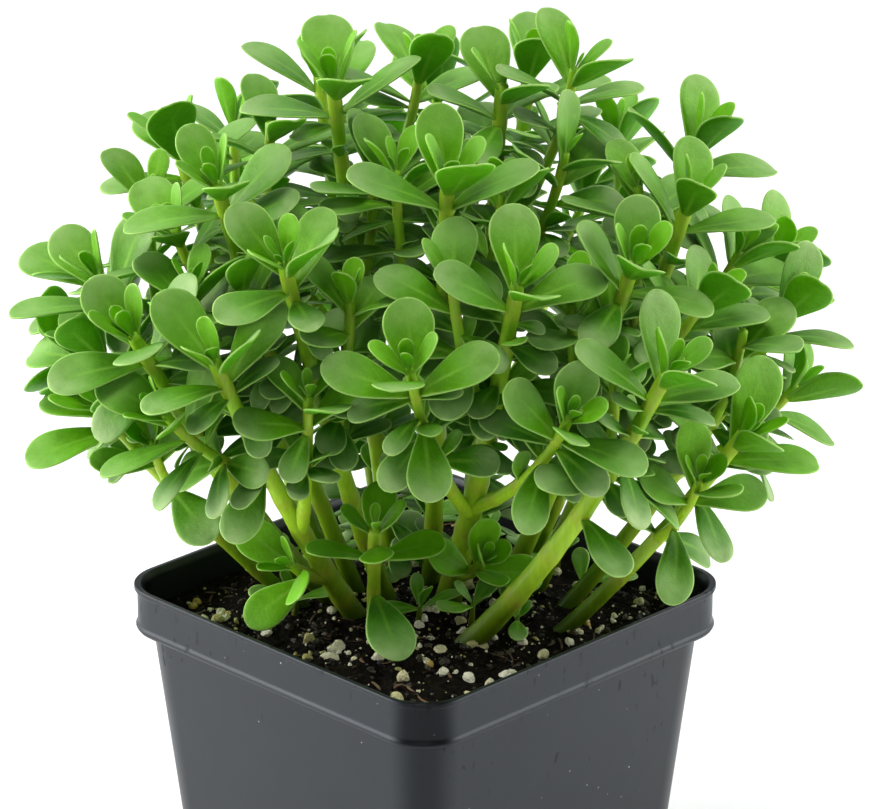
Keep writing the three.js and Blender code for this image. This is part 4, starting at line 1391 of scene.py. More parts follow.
@dataclass(frozen=True)
class MixFinish:
    """Moist peat: nearly black, with brown fibres and a crumbly relief."""

    name: str = "peat"
    dark: Colour = (0.0018, 0.0014, 0.0010)
    brown: Colour = (0.018, 0.011, 0.005)
    fibre: Colour = (0.13, 0.085, 0.045)

    def make(self) -> bpy.types.Material:
        """Makes the material: crumbs in two sizes and stray fibres.

        Returns:
            The material.
        """
        sheet = Sheet(self.name)
        where = sheet.place()
        crumbs = sheet.noise(where, 0.7, 4.0, 0.65)
        fine = sheet.noise(where, 2.4, 3.0, 0.6)
        hairs = sheet.noise(sheet.place((1.0, 0.18, 0.6)), 1.4, 2.0)
        stops = ((0.46, self.dark), (0.70, self.brown))
        colour = sheet.node("ShaderNodeValToRGB", {"stops": stops}, {0: crumbs})
        colour = sheet.blend(hairs.rise(0.66, 0.74, 0.0, 0.5), colour, self.fibre)
        bumps = sheet.relief(crumbs, 1.1, 0.9)
        sheet.dress(
            Base_Color=colour, Roughness=0.72 + fine * 0.25, Specular_IOR_Level=0.08,
            Normal=sheet.relief(fine, 0.35, 0.8, bumps))
        return sheet.material


@dataclass(frozen=True)
class GrainFinish:
    """Grains in the mix, tinted each between two colours, with pits or a smooth skin."""

    name: str
    light: Colour
    dark: Colour
    pit_depth: float
    pits_per_mm: float
    roughness: float
    subsurface: float = 0.0

    def make(self) -> bpy.types.Material:
        """Makes the material from the mark `kind` (tint, lumpiness, 0).

        Returns:
            The material.
        """
        sheet = Sheet(self.name)
        where = sheet.place()
        tint, swell, _ = sheet.mark("kind")
        pits = sheet.cells(where, self.pits_per_mm)
        cloud = sheet.noise(where, self.pits_per_mm * 1.6, 3.0)
        colour = sheet.blend(tint, self.light, self.dark)
        # Darker in the pits: painted shade.
        colour = sheet.shade(colour, pits.rise(0.05, 0.35, 0.45, 1.0) * (0.75 + cloud * 0.4))
        sheet.dress(
            Base_Color=colour, Roughness=self.roughness + cloud * 0.1,
            Normal=sheet.relief(pits + cloud * 0.5, self.pit_depth, 0.8),
            Subsurface_Weight=self.subsurface, Subsurface_Radius=(0.6, 0.6, 0.5),
            Subsurface_Scale=MM)
        return sheet.material


@dataclass(frozen=True)
class FloorFinish:
    """A plain pale floor, matt, with a barely seen mottle."""

    name: str = "floor"
    pale: Colour = (0.86, 0.86, 0.865)
    mottle_per_mm: float = 0.002

    def make(self) -> bpy.types.Material:
        """Makes the material.

        Returns:
            The material.
        """
        sheet = Sheet(self.name)
        mottle = sheet.noise(sheet.place(), self.mottle_per_mm, 2.0)
        sheet.dress(Base_Color=sheet.shade(self.pale, 0.985 + mottle * 0.03), Roughness=0.9)
        return sheet.material


# --------------------- pot


def rounded_square(half: Array, radius: Array, z: Array, steps: int) -> Array:
    """Level rings in the shape of a square with rounded corners.

    Args:
        half: Half side of each ring.
        radius: Corner radius of each ring.
        z: Height of each ring.
        steps: Steps round a corner.

    Returns:
        Points by ring and place: corner middle + radius * (cos a, sin a) for four quarter turns.
    """
    turn = np.concatenate([np.linspace(k, k + 1, steps + 1) for k in range(4)]) * math.pi / 2
    middle = (np.repeat(np.arange(4), steps + 1) * 2 + 1) * math.pi / 4
    reach = (half - radius)[:, None] * math.sqrt(2)
    x = reach * np.cos(middle) + radius[:, None] * np.cos(turn)
    y = reach * np.sin(middle) + radius[:, None] * np.sin(turn)
    return np.stack([x, y, np.broadcast_to(z[:, None], x.shape)], axis=-1)


def soften(corners: Sequence[tuple[float, float, float]], steps: int = 5) -> Array:
    """An open outline of (across, up, rounding), its corners turned into short curves.

    Args:
        corners: The outline's corners, with the length cut off each for its curve.
        steps: Steps in each curve.

    Returns:
        The points, each curve being the quadratic one from cut to cut round its corner.
    """
    flat = np.array([corner[:2] for corner in corners])
    points = [flat[:1]]
    t = np.linspace(0, 1, steps + 1)[:, None]
    for before, here, after, cut in zip(flat, flat[1:], flat[2:], [c[2] for c in corners[1:]]):
        start = here + unit(before - here) * min(cut, np.linalg.norm(before - here) * 0.48)
        end = here + unit(after - here) * min(cut, np.linalg.norm(after - here) * 0.48)
        points.append((1 - t) ** 2 * start + 2 * t * (1 - t) * here + t * t * end)
    points.append(flat[-1:])
    return np.concatenate(points)


@dataclass
class NurseryPot:
    """A thin-walled square pot with a collar, an out-turned lip and four drain holes.

    Halves are half sides of the square section, and `bead` is how far the rounded edge
    at the collar's foot stands out.
    """

    wall: float = 1.2
    floor: float = 1.6
    floor_middle: float = 20.0
    foot_half: float = 39.3
    body_top_half: float = 46.85
    body_top: float = 80.4
    collar_half: float = 49.5
    collar_bottom: float = 81.9
    bead: float = 0.33
    lip_half: float = 50.0
    lip_thick: float = 1.3
    corner_radius: float = 11.0
    corner_tightening: float = 0.15
    corner_steps: int = 12
    drain_radius: float = 4.0
    drain_offset: float = 27.0
    drain_sides: int = 40
    finish: PotFinish = field(default_factory=PotFinish)

    def body_half(self, z: float) -> float:
        """Half side of the body's outer wall at a height."""
        return self.foot_half + (self.body_top_half - self.foot_half) * z / self.body_top

    def section(self) -> Array:
        """The pot's section.

        Returns:
            Half side and height along it, up the outside and down the inside.
        """
        lip_low = POT_HEIGHT - self.lip_thick
        inner_collar = self.collar_half - self.wall
        outside = [
            (self.floor_middle, 0, 0),
            (self.foot_half, 0, 1.2),
            (self.body_half(self.body_top - 4), self.body_top - 4, 0.1),
            (self.body_top_half, self.body_top + 0.2, 0.35),
        ]
        collar = [
            (self.collar_half - 0.1, self.collar_bottom - 1.1, 0.9),
            (self.collar_half + self.bead, self.collar_bottom - 0.2, 0.4),
            (self.collar_half + self.bead, self.collar_bottom + 0.25, 0.2),
            (self.collar_half, self.collar_bottom + 1.1, 0.3),
            (self.collar_half, lip_low - 0.15, 0.3),
        ]
        lip = [
            (self.lip_half, lip_low, 0.4),
            (self.lip_half, POT_HEIGHT, 0.35),
            (self.lip_half - self.wall, POT_HEIGHT, 0.35),
        ]
        inside = [
            (inner_collar, lip_low - 0.4, 0.5),
            (inner_collar, self.collar_bottom + GAP, 1.2),
            (self.body_top_half - self.wall, self.body_top + GAP, 1.2),
            (self.body_half(self.floor) - self.wall, self.floor, 1.0),
            (self.floor_middle, self.floor, 0),
        ]
        return soften(outside + collar + lip + inside)

    def shell(self) -> Skin:
        """The pot without its drain holes.

        Returns:
            Its section carried round a rounded square, as one closed skin.
        """
        half, z = self.section().T
        radius = self.corner_radius - (self.lip_half - half) * self.corner_tightening
        rings = rounded_square(half, radius, z, self.corner_steps)
        ends = np.array([[0, 0, 0], [0, 0, self.floor]], float)
        return tubes(rings[None], ends[None], {})

    def cut_drains(self, pot: bpy.types.Object) -> None:
        """Cuts four round holes through the floor, near its corners.

        Args:
            pot: The pot's object, whose mesh is replaced.
        """
        drills = bmesh.new()
        for x in (-self.drain_offset, self.drain_offset):
            for y in (-self.drain_offset, self.drain_offset):
                place = np.eye(4)
                place[:3, 3] = x * MM, y * MM, 0
                bmesh.ops.create_cone(
                    drills, cap_ends=True, segments=self.drain_sides, radius1=self.drain_radius * MM,
                    radius2=self.drain_radius * MM, depth=4 * self.floor * MM,
                    matrix=Matrix(place.tolist()))
        mesh = bpy.data.meshes.new("drills")
        drills.to_mesh(mesh)
        drills.free()
        cutter = bpy.data.objects.new("drills", mesh)
        bpy.context.collection.objects.link(cutter)
        cut = pot.modifiers.new("drains", "BOOLEAN")
        cut.operation, cut.solver, cut.object = "DIFFERENCE", "EXACT", cutter
        result = pot.evaluated_get(bpy.context.evaluated_depsgraph_get())
        finished = bpy.data.meshes.new_from_object(result)
        pot.modifiers.clear()
        pot.data = finished
        bpy.data.objects.remove(cutter)

    def build(self) -> list[bpy.types.Object]:
        """Makes the pot.

        Returns:
            Its one piece.
        """
        pot = make_piece("nursery_pot", self.shell(), self.finish.make(), ("pot",))
        self.cut_drains(pot)
        return [pot]


# ------------- potting mix


PEARL = GrainFinish("perlite", (0.97, 0.93, 0.74), (0.50, 0.47, 0.13), 0.6, 1.6, 0.75, 0.2)
BEAD = GrainFinish("feed_bead", (0.50, 0.36, 0.07), (0.42, 0.27, 0.04), 0.05, 0.8, 0.3, 0.2)
BARK = GrainFinish("bark", (0.20, 0.125, 0.062), (0.055, 0.032, 0.018), 0.3, 1.2, 0.8)
CRUMB = GrainFinish("peat_crumb", (0.003, 0.003, 0.002), (0.055, 0.040, 0.012), 0.6, 1.4, 0.45)


@dataclass(frozen=True)
class Strewn:
    """Grains strewn on the mix: fineness, number, clumps, and least and largest radius.

    `sunk` is the share of the radius that a middle lies under the top, and `lumps` the
    lumpiness as a share of it.
    """

    detail: int
    count: int
    clumps: int
    low: float
    high: float
    sunk: float
    lumps: float


@dataclass
class PottingMix:
    """Moist peat that fills the pot, with perlite, feed beads, bark and crumbs on top.

    Each half side goes with the level at which the mix is so wide. The top sinks by
    `edge_dip` at the wall, and its relief fades out there. Grains are strewn within
    `strewn_half`, a share of them in clumps, and none stay past `strewn_limit`.
    """

    RELIEF: ClassVar = ((0.55, 5.2), (0.45, 2.4), (0.30, 1.3), (0.16, 0.7))
    FOLDED: ClassVar = 2

    top_half: float = 48.0
    top_level: float = 82.5
    body_top_half: float = 45.35
    body_top_level: float = 81.0
    foot_half: float = 37.95
    foot_level: float = 1.9
    corner: float = 11.5
    edge_dip: float = 0.7
    dip_reach: float = 18
    fade_reach: float = 30
    cells: int = 230
    seed: int = 77
    field_half: float = 44.0
    field_corner: float = 9.0
    strewn_half: float = 46.0
    strewn_limit: float = 46.2
    clump_spread: float = 3.5
    clump_share: float = 0.6
    clear_of_stems: float = 5.5
    grain_count: int = 22
    grain_lumps: float = 0.13
    small: Strewn = Strewn(2, 260, 30, 0.3, 2.0, 0.0, 0.2)
    specks: Strewn = Strewn(1, 420, 40, 0.12, 0.5, -0.2, 0.15)
    beads: Strewn = Strewn(3, 9, 0, 1.0, 1.3, 0.1, 0.01)
    crumbs: Strewn = Strewn(1, 1100, 60, 0.25, 1.4, 0.15, 0.25)
    fibre_count: int = 110

    def to_square(self, a: Array, b: Array, half: float) -> tuple[Array, Array]:
        """Places of a square of half side 1, moved into one with rounded corners.

        Args:
            a: Places across the unit square.
            b: Places along it.
            half: Half side of the rounded square.

        Returns:
            The places, a corner's square having been drawn in to a quarter disc.
        """
        x, y = a * half, b * half
        dx = np.maximum(np.abs(x) - (half - self.corner), 0)
        dy = np.maximum(np.abs(y) - (half - self.corner), 0)
        draw_in = np.maximum(dx, dy) / np.maximum(np.hypot(dx, dy), 1e-9)
        draw_in = np.where((dx > 0) & (dy > 0), draw_in, 1)
        x = np.sign(x) * (np.abs(x) - dx + dx * draw_in)
        y = np.sign(y) * (np.abs(y) - dy + dy * draw_in)
        return x, y

    def relief(self, x: Array, y: Array) -> Array:
        """Crumbly relief over the mix's smooth height.

        Args:
            x: Places across the pot.
            y: Places along it.

        Returns:
            The sum of RELIEF's lattice noises, of which one is folded up at zero.
        """
        height = np.zeros(np.shape(x))
        for order, (size, cell) in enumerate(self.RELIEF):
            noise = lattice_noise(x, y, cell, order + 1)
            height += size * (np.abs(noise) if order == self.FOLDED else noise)
        return height

    def bed(self) -> Skin:
        """The mix's closed body.

        Returns:
            Its skin: a crumbly top, a skirt along the wall and a flat bottom.
        """
        line = np.linspace(-1, 1, self.cells + 1)
        a, b = np.meshgrid(line, line, indexing="ij")
        x, y = self.to_square(a, b, self.top_half)
        edge = np.maximum(np.abs(a), np.abs(b))
        fade = np.clip((1 - edge) * self.fade_reach, 0, 1)
        dip = self.edge_dip * np.clip(1 - (1 - edge) * self.dip_reach, 0, 1)
        z = soil_height(x, y) + (self.relief(x, y) - dip) * fade
        top = np.stack([x, y, z], axis=-1).reshape(-1, 3)
        n = self.cells + 1
        index = np.arange(n * n).reshape(n, n)
        cells = np.stack([index[:-1, :-1], index[1:, :-1], index[1:, 1:], index[:-1, 1:]], axis=-1)
        rim = np.concatenate([index[:-1, 0], index[-1, :-1], index[:0:-1, -1], index[0, :0:-1]])
        lower = []
        for half, level in ((self.top_half, self.top_level), (self.body_top_half, self.body_top_level),
                            (self.foot_half, self.foot_level)):
            x, y = self.to_square(a.ravel()[rim], b.ravel()[rim], half)
            lower.append(np.stack([x, y, np.full_like(x, level)], axis=-1))
        points = np.concatenate([top, *lower, [[0, 0, self.foot_level]]])
        count = len(rim)
        rows = [rim] + [n * n + k * count + np.arange(count) for k in range(len(lower))]
        skirt = [np.stack([up, low, np.roll(low, -1), np.roll(up, -1)], axis=1)
                 for up, low in zip(rows, rows[1:])]
        bottom = np.stack([rows[-1], np.full(count, len(points) - 1), np.roll(rows[-1], -1)], axis=1)
        return Skin(points, np.concatenate([cells.reshape(-1, 4), *skirt]), bottom)

    def level(self, x: Array, y: Array) -> Array:
        """Height of the crumbly top at places well inside the wall."""
        return soil_height(x, y) + self.relief(x, y)

    def main_grains(self, feet: Array) -> tuple[Array, Array]:
        """The large grains of perlite, which are the solids' own.

        Args:
            feet: Places of the main stems' feet, which they stay clear of.

        Returns:
            Their places and their half extents.
        """
        draw = Draw(self.seed)
        places, sizes = [], []
        while len(places) < self.grain_count:
            spot = np.array([draw.span(-self.field_half, self.field_half) for _ in range(2)])
            if (np.linalg.norm(feet - spot, axis=1) > self.clear_of_stems).all():
                size = draw.span(1, 2.1)
                extent = (size, size * draw.span(0.7, 1), size * draw.span(0.6, 0.9))
                for _ in ("turn", "tilt"):  # drawn as the solids draw them, and not used
                    draw.span(0, math.pi)
                places.append((*spot, float(soil_height(*spot)) + 0.2 * size))
                sizes.append(extent)
        return np.array(places), np.array(sizes)

    def scatter(self, count: int, rng: np.random.Generator, clumps: int = 0) -> Array:
        """Random places on the top.

        Args:
            count: Number of places before those past the wall are left out.
            rng: Source of the draws.
            clumps: Number of clumps in which some of them gather.

        Returns:
            The places.
        """
        spots = rng.uniform(-self.strewn_half, self.strewn_half, (count, 2))
        if clumps:
            hearts = rng.uniform(-self.field_half, self.field_half, (clumps, 2))
            near = hearts[rng.integers(0, clumps, count)]
            near = near + rng.normal(0, self.clump_spread, (count, 2))
            spots = np.where(rng.random((count, 1)) < self.clump_share, near, spots)
        limit, corner = self.strewn_limit, self.field_corner
        inside = (np.abs(spots) < limit).all(axis=1)
        inside &= np.hypot(*np.maximum(np.abs(spots) - (limit - corner), 0).T) < corner
        return spots[inside]

    def stones(self, kind: Strewn, rng: np.random.Generator) -> Skin:
        """Pebbles on the top, few of which have the largest radius.

        Args:
            kind: What they are like.
            rng: Source of their places, sizes and tints.

        Returns:
            Their skin.
        """
        spots = self.scatter(kind.count, rng, kind.clumps)
        size = kind.low + (kind.high - kind.low) * rng.random(len(spots)) ** 2
        extents = size[:, None] * rng.uniform(0.65, 1.0, (len(spots), 3))
        z = self.level(spots[:, 0], spots[:, 1]) - kind.sunk * size
        places = np.column_stack([spots, z])
        return pebbles(kind.detail, places, extents, kind.lumps, rng, rng.random(len(spots)))

    def fibres(self, rng: np.random.Generator) -> Skin:
        """Slim curved splinters that lie about on the top.

        Args:
            rng: Source of their places, turns and sizes.

        Returns:
            Their skin: six-sided tubes along a bowed line that tapers to both ends.
        """
        stations, sides = 7, 6
        spots = self.scatter(self.fibre_count, rng)
        count, t = len(spots), np.linspace(-1, 1, stations)
        heading = rng.uniform(0, 2 * math.pi, count)
        length, width = rng.uniform(1.2, 4.6, count), rng.uniform(0.10, 0.42, count)
        bow, pitch = rng.uniform(-0.5, 0.5, count), rng.uniform(-0.10, 0.22, count)
        ahead = np.stack([np.cos(heading), np.sin(heading)], axis=1)
        aside = np.stack([-ahead[:, 1], ahead[:, 0]], axis=1)
        along = length[:, None] * t
        sideways = (bow * length)[:, None] * (t * t - 0.5)
        flat = spots[:, None] + along[..., None] * ahead[:, None] + sideways[..., None] * aside[:, None]
        z = self.level(spots[:, 0], spots[:, 1])[:, None] + 0.15 + pitch[:, None] * along
        spine = np.concatenate([flat, z[..., None]], axis=-1)
        angle = np.arange(sides) * 2 * math.pi / sides
        thick = width[:, None] * np.sqrt(1.02 - t * t)
        side = np.concatenate([aside, np.zeros((count, 1))], axis=1)
        rings = spine[:, 1:-1, None] + thick[:, 1:-1, None, None] * (
            np.cos(angle)[:, None] * side[:, None, None]
            + 0.55 * np.sin(angle)[:, None] * np.array([0, 0, 1.0]))
        ends = spine[:, [0, -1]]
        tint = np.repeat(rng.random(count)[:, None], (stations - 2) * sides + 2, axis=1)
        kind = np.stack([tint, tint * 0, tint * 0], axis=-1)
        return tubes(rings, ends, {"kind": kind})

    def build(self, feet: Array) -> list[bpy.types.Object]:
        """Makes the mix and what lies on it.

        Args:
            feet: Places where the main stems enter the mix, in the pot's frame.

        Returns:
            Its pieces.
        """
        rng = np.random.default_rng(self.seed)
        places, sizes = self.main_grains(feet)
        tints = rng.random(len(places)) ** 2
        large = pebbles(3, places, sizes, self.grain_lumps, rng, tints)
        small = self.stones(self.small, rng)
        specks = self.stones(self.specks, rng)
        beads = self.stones(self.beads, rng)
        crumbs = self.stones(self.crumbs, rng)
        node = ("potting_mix",)
        return [
            make_piece("peat", self.bed(), MixFinish().make(), node),
            make_piece("perlite", join([large, small, specks]), PEARL.make(), node),
            make_piece("feed_beads", beads, BEAD.make()),
            make_piece("peat_crumbs", crumbs, CRUMB.make()),
            make_piece("bark_fibres", self.fibres(rng), BARK.make()),
        ]


# ------------------- plant


# Age from deep -1 to young 1 by rank. INNER and FILL leaves, inside the bush, are set deep, so their
# darker green is partly painted shade.
AGE = {
    Rank.OUTER: 0.05, Rank.SECOND: 0.2, Rank.THIRD: 0.75, Rank.BUD: 0.95, Rank.HEART: 1.0,
    Rank.LOWER: 0.0, Rank.INNER: -0.4, Rank.AXIL: 0.5, Rank.FILL: -0.4, Rank.SPROUT: 0.5,
}


@dataclass
class Portulaca:
    """The plant: main stems with side shoots and crowns of fleshy leaves, and low sprouts.

    Leaves of `grown_length` have the full thickness. Under `low_height` a crown's leaves
    are younger and lighter and all others deeper and darker, by `low_ages`, partly as painted
    light on the low crowns and painted shade on the other low leaves. A mesh is a number of
    rings and of sides. A flare is a shoot's widening where it starts: its share and its length.
    """

    LARGE: ClassVar = (Rank.OUTER, Rank.SECOND, Rank.THIRD, Rank.LOWER)

    grown_length: float = 18.0
    half_thickness: float = 0.62
    groove_depth: float = 0.24
    groove_half: float = 0.9
    wave_height: float = 0.22
    drift: float = 0.03
    low_height: float = 60.0
    low_ages: tuple[float, float] = (1.1, -0.4)
    large_mesh: tuple[int, int] = (15, 16)
    small_mesh: tuple[int, int] = (9, 12)
    sprout_mesh: tuple[int, int] = (11, 14)
    node_swell: float = 0.09
    node_half: float = 2.0
    main_flare: tuple[float, float] = (0.10, 9.0)
    side_flare: tuple[float, float] = (0.25, 1.6)
    tip: float = 0.8
    full_height: float = 75.0
    stem_sides: int = 12
    ring_step: float = 1.0
    seed: int = 11
    growth: Growth = field(default_factory=lambda: Growth(STEMS))

    def feet(self) -> Array:
        """Places where the main stems enter the mix, in the pot's frame."""
        mains = [shoot for shoot in self.growth.shoots if shoot.main]
        return np.array([to_pot(shoot.point(FOOT_SHARE))[:2] for shoot in mains])

    @staticmethod
    def room_share(points: Array, foot: Array) -> Array:
        """The share of its size with which each blade stays in the box of the solids.

        Args:
            points: Each blade's points, in the pot's frame.
            foot: Each blade's foot.

        Returns:
            1, or less where a blade would reach past the box.
        """
        low, high = (np.array(corner) / MM for corner in CAD_BOX)
        reach = points - foot[:, None]
        past = np.maximum(reach / (high - foot)[:, None], reach / (low - foot)[:, None])
        return 1 / np.maximum(past.max(axis=(1, 2)) * 1.0005, 1)

    def ages(self, blades: Sequence[Blade], rng: np.random.Generator) -> Array:
        """How young each blade is.

        Args:
            blades: The blades.
            rng: Source of small differences.

        Returns:
            Numbers from deep -1 to young 1.
        """
        age = np.array([AGE[blade.rank] for blade in blades]) + rng.uniform(-0.2, 0.2, len(blades))
        crown = np.array([blade.rank in CROWN for blade in blades])
        height = np.array([blade.foot[2] for blade in blades])
        # Low crowns younger and lighter, other low leaves deeper and darker: partly painted light and
        # painted shade.
        return age + np.where(crown, *self.low_ages) * np.clip(1 - height / self.low_height, 0, 1)

    def outline(self, s: Array, widest: Array, size: Array) -> tuple[Array, Array]:
        """Half width and half thickness along the blades.

        Args:
            s: Shares of the length.
            widest: Each blade's half width where it is widest.
            size: Each blade's size, 1 for a grown one.

        Returns:
            The half width, which runs out into a stalk, and the half thickness, which
            falls from foot to tip and where the blade is narrow.
        """
        stalk = 0.13 * widest + 0.35 * size
        blade_share = np.clip((s - 0.3) / 0.25, 0, 1)
        width = np.sqrt(half_width(s, widest) ** 2 + (stalk * (1 - blade_share)) ** 2)
        fill = np.minimum(width / (0.55 * widest), 1) ** 0.7
        taper = self.half_thickness * size * (1.08 - 0.42 * s)
        return width, taper * np.maximum(fill, 0.62 * (1 - s) ** 0.5)

    @staticmethod
    def blade_marks(place: Array, age: Array, tint: Array, lift: Array) -> dict[str, Array]:
        """Marks on the blades' points, the two ends last.

        Args:
            place: Share of the length, across and distance to the edge, by blade, ring and side.
            age: Each blade's age.
            tint: Each blade's tint.
            lift: How far each side faces up, 1 to -1.

        Returns:
            The marks `place` and `kind`, which is (age, tint, lift).
        """
        count = len(age)
        blade = np.stack([age, tint], axis=1)
        kind = np.concatenate([
            np.broadcast_to(blade[:, None, None], (*place.shape[:3], 2)),
            np.broadcast_to(lift[:, None], (*place.shape[:3], 1))], axis=-1)
        end_place = np.zeros((count, 2, 3))
        end_place[:, 1, 0] = 1
        end_kind = np.zeros((count, 2, 3))
        end_kind[..., :2] = blade[:, None]
        return {
            "place": np.concatenate([place.reshape(count, -1, 3), end_place], axis=1),
            "kind": np.concatenate([kind.reshape(count, -1, 3), end_kind], axis=1),
        }

    def leaves(self, blades: Sequence[Blade], stations: int, sides: int,
               rng: np.random.Generator) -> Skin:
        """Fleshy blades as one skin.

        Each is a closed loft along its arc. Its section is w cos a across and
        h |sin a|^0.75 up and down, with a groove along the midrib's upper side.

        Args:
            blades: The blades, of one main stem.
            stations: Rings along each.
            sides: Points on each ring.
            rng: Source of each blade's tint, waves and sideways drift, and of small differences in age.

        Returns:
            The skin, with the marks `place` (s, y, distance to the edge, in millimetres)
            and `kind` (age, tint, 1 on the upper face to -1 on the lower).
        """
        count = len(blades)
        foot, outward, upward, across = (np.array([getattr(blade, name) for blade in blades])
                                         for name in ("foot", "outward", "upward", "across"))
        length, widest, bend, cup = (np.array([getattr(blade, name) for blade in blades])[:, None]
                                     for name in ("length", "widest", "bend", "cup"))
        age = self.ages(blades, rng)
        size = np.clip(length / self.grown_length, 0.25, 1)
        s = 1 - (1 - np.linspace(0, 1, stations + 2)) ** 1.6
        s = s[None, :].repeat(count, axis=0)
        width, thick = self.outline(s, widest, size)
        a = np.arange(sides) * 2 * math.pi / sides
        lift = np.sign(np.sin(a)) * np.abs(np.sin(a)) ** 0.75
        lift[np.abs(np.sin(a)) < 1e-9] = 0

        y = width[..., None] * np.cos(a)
        v = y / np.maximum(width, 0.05)[..., None]
        groove = self.groove_depth * size * np.clip(1.15 - s * 1.3, 0, 1) * np.clip(s * 12, 0, 1)
        z = thick[..., None] * lift
        z = z - groove[..., None] * np.exp(-(y / self.groove_half) ** 2) * np.maximum(lift, 0)
        wave = 5.5 * s[..., None] + rng.uniform(0, 2 * math.pi, (count, 1, 1)) + v
        z = z + self.wave_height * size[..., None] * np.sin(wave) * v * v
        z = z + cup[..., None] * width[..., None] * v * v
        aside = self.drift * length[..., None] * rng.uniform(-1, 1, (count, 1, 1))
        y = y + aside * s[..., None] ** 2

        angle = bend * s
        out = (length * np.sin(angle) / bend)[..., None] + z * np.sin(angle)[..., None]
        rise = (-length * (1 - np.cos(angle)) / bend)[..., None] + z * np.cos(angle)[..., None]
        points = (foot[:, None, None] + out[..., None] * outward[:, None, None]
                  + y[..., None] * across[:, None, None] + rise[..., None] * upward[:, None, None])
        ends = points[:, [0, -1]].mean(axis=2)
        ends[:, 0] -= 0.5 * outward

        sideways = v * width[..., None]
        edge = np.minimum(width[..., None] - np.abs(sideways), (length * (1 - s))[..., None])
        place = np.stack([np.broadcast_to(s[..., None], y.shape), sideways, edge], axis=-1)
        marks = self.blade_marks(place[:, 1:-1], age, rng.random(count), lift)

        rings, ends, foot = to_pot(points[:, 1:-1]), to_pot(ends), to_pot(foot)
        every = np.concatenate([rings.reshape(count, -1, 3), ends], axis=1)
        share = self.room_share(every, foot)[:, None, None]
        start = foot[:, None]
        ends = start + (ends - start) * share
        rings = start[:, None] + (rings - start[:, None]) * share[..., None]
        return tubes(rings, ends, marks)

    def tube(self, shoot: Shoot) -> Skin:
        """A shoot's skin: its tapering round section with a swelling at every node.

        Args:
            shoot: The shoot.

        Returns:
            The skin, with the mark `run` (height, nearness to a node, 0). The radius is
            r (1 + swell exp(-((d - node) / half)^2)), and wider where the shoot starts.
        """
        rings = max(6, int(shoot.total / self.ring_step))
        d = np.linspace(0, shoot.total, rings)
        t = shoot.share(d)
        crown = [shoot.total - CROWN[rank].below for rank in (Rank.OUTER, Rank.SECOND)]
        nodes = np.array(crown + shoot.nodes)
        near = np.exp(-((d[:, None] - nodes) / self.node_half) ** 2).max(axis=1)
        flare, flare_length = self.main_flare if shoot.main else self.side_flare
        foot = np.exp(-(d / flare_length) ** 2)
        radius = shoot.radius(t) * (1 + self.node_swell * near + flare * foot)
        _, left, front = shoot.axes(t)
        angle = np.arange(self.stem_sides) * 2 * math.pi / self.stem_sides
        spread = np.cos(angle)[:, None] * left[:, None] + np.sin(angle)[:, None] * front[:, None]
        points = shoot.point(t)[:, None] + radius[:, None, None] * spread
        along, _, _ = shoot.axes(1.0)
        ends = np.stack([shoot.point(0.0), shoot.point(1.0) + self.tip * along])
        height = np.clip((points[..., 2] + SOIL_DROP) / self.full_height, 0, 1)
        run = np.stack([height, np.broadcast_to(near[:, None], height.shape), 0 * height], axis=-1)
        run = np.concatenate([run.reshape(-1, 3), run[[0, -1], 0]])
        return tubes(to_pot(points)[None], to_pot(ends)[None], {"run": run[None]})

    def build(self) -> list[bpy.types.Object]:
        """Makes the shoots and the leaves of every main stem, and the low sprouts.

        Returns:
            Its pieces.
        """
        rng = np.random.default_rng(self.seed)
        leaf, stem = LeafFinish().make(), StemFinish().make()
        pieces = []
        for index in range(len(STEMS)):
            shoots = join([self.tube(shoot) for shoot in self.growth.shoots if shoot.stem == index])
            blades = [blade for blade in self.growth.blades if blade.shoot.stem == index]
            large = [blade for blade in blades if blade.rank in self.LARGE]
            small = [blade for blade in blades if blade.rank not in self.LARGE]
            skin = join([self.leaves(large, *self.large_mesh, rng),
                         self.leaves(small, *self.small_mesh, rng)])
            number, node = f"{index + 1:02d}", (f"leafy_stem_{index + 1:02d}",)
            pieces.append(make_piece(f"shoots_{number}", shoots, stem, node))
            pieces.append(make_piece(f"leaves_{number}", skin, leaf, node))
        shoots = join([self.tube(shoot) for shoot in self.growth.shoots if shoot.stem == len(STEMS)])
        blades = [blade for blade in self.growth.blades if blade.rank is Rank.SPROUT]
        skin = self.leaves(blades, *self.sprout_mesh, rng)
        pieces.append(make_piece("sprout_shoots", shoots, stem))
        pieces.append(make_piece("sprout_leaves", skin, leaf))
        for rank in Rank:
            LOG.info("%s: %d leaves", rank.name, sum(b.rank is rank for b in self.growth.blades))
        LOG.info("%d leaves on %d shoots", len(self.growth.blades), len(self.growth.shoots))
        return pieces


# ------------------ studio


@dataclass(frozen=True)
class SoftBox:
    """A soft light that looks at the plant: its direction in degrees, metres and watts."""

    name: str
    azimuth: float
    elevation: float
    distance: float
    width: float
    height: float
    power: float


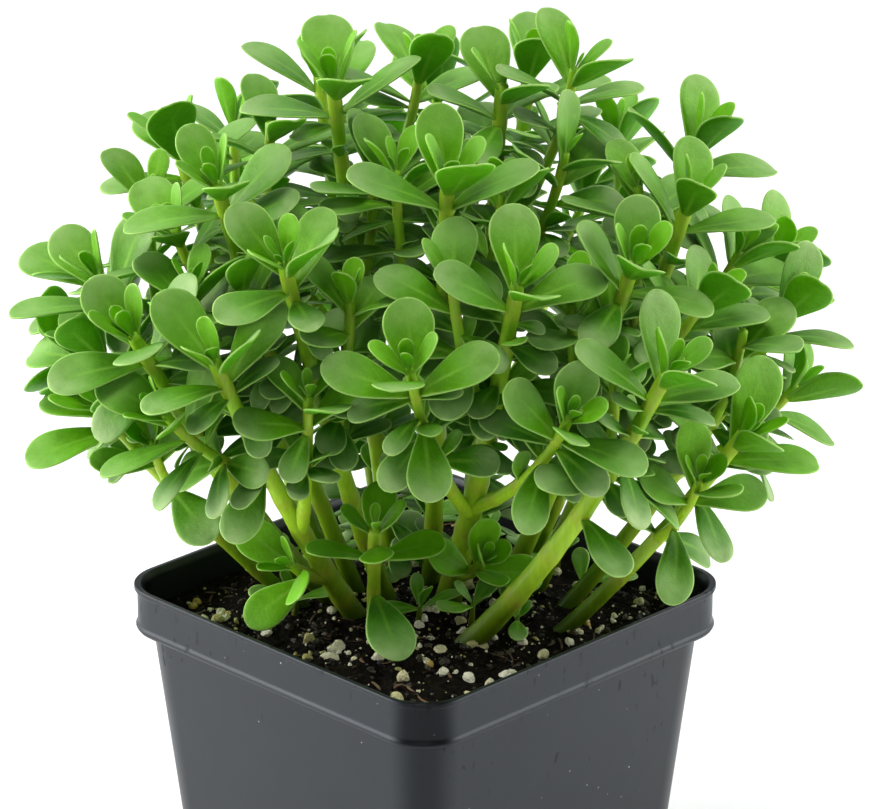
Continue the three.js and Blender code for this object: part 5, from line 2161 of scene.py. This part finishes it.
@dataclass
class Studio:
    """Pale floor, soft boxes and the camera, in metres."""

    camera_place: tuple[float, float, float] = (0.7558, -0.7510, 0.5601)
    camera_ahead: tuple[float, float, float] = (-0.6568, 0.6568, -0.3704)
    lens: float = 209.37
    sensor: float = 36.0
    clip: tuple[float, float] = (0.05, 30.0)
    world: float = 0.0
    floor_half: float = 6.0
    look_at: tuple[float, float, float] = (0.0, 0.0, 0.12)
    boxes: tuple[SoftBox, ...] = (
        SoftBox("left_box", 217, 15, 0.95, 1.2, 0.6, 16.5),
        SoftBox("right_box", 53, 15, 0.95, 1.2, 0.6, 12.0),
        SoftBox("back_box", 135, 45, 1.4, 2.4, 1.6, 15.0),
        SoftBox("top_box", 290, 72, 1.3, 0.6, 0.6, 11.0),
        SoftBox("front_box", 312, 30, 1.6, 1.0, 0.6, 2.6),
    )

    def light(self, box: SoftBox) -> None:
        """Hangs one soft box.

        Args:
            box: The soft box.
        """
        lamp = bpy.data.lights.new(box.name, "AREA")
        lamp.shape, lamp.size, lamp.size_y, lamp.energy = "RECTANGLE", box.width, box.height, box.power
        hung = bpy.data.objects.new(box.name, lamp)
        azimuth, elevation = math.radians(box.azimuth), math.radians(box.elevation)
        away = Vector((math.cos(elevation) * math.cos(azimuth),
                       math.cos(elevation) * math.sin(azimuth), math.sin(elevation)))
        hung.location = Vector(self.look_at) + away * box.distance
        hung.rotation_euler = away.to_track_quat("Z", "Y").to_euler()
        bpy.context.collection.objects.link(hung)

    def build(self) -> None:
        """Sets up the floor, the lights, the surroundings and the camera."""
        mesh = bpy.data.meshes.new("floor")
        corners = [(-1, -1, 0), (1, -1, 0), (1, 1, 0), (-1, 1, 0)]
        mesh.from_pydata(np.array(corners) * self.floor_half, [], [(0, 1, 2, 3)])
        mesh.materials.append(FloorFinish().make())
        floor = bpy.data.objects.new("floor", mesh)
        bpy.context.collection.objects.link(floor)
        for box in self.boxes:
            self.light(box)
        world = bpy.data.worlds.new("surroundings")
        world.use_nodes = True
        back = world.node_tree.nodes["Background"]
        back.inputs["Color"].default_value = (1, 1, 1, 1)
        back.inputs["Strength"].default_value = self.world
        bpy.context.scene.world = world
        lens = bpy.data.cameras.new("camera")
        lens.lens, lens.sensor_width = self.lens, self.sensor
        lens.clip_start, lens.clip_end = self.clip
        camera = bpy.data.objects.new("camera", lens)
        camera.location = self.camera_place
        camera.rotation_euler = Vector(self.camera_ahead).to_track_quat("-Z", "Y").to_euler()
        bpy.context.collection.objects.link(camera)
        bpy.context.scene.camera = camera
        bpy.context.scene.view_settings.view_transform = "Standard"


def main() -> None:
    """Builds the pot, the mix, the plant and the studio."""
    logging.basicConfig(level=logging.INFO, format="%(name)s: %(message)s", stream=sys.stdout)
    plant = Portulaca()
    pieces = NurseryPot().build()
    pieces += PottingMix().build(plant.feet())
    pieces += plant.build()
    Studio().build()
    bpy.context.view_layer.update()
    LOG.info("%d pieces", len(pieces))


if __name__ == "__main__":
    main()
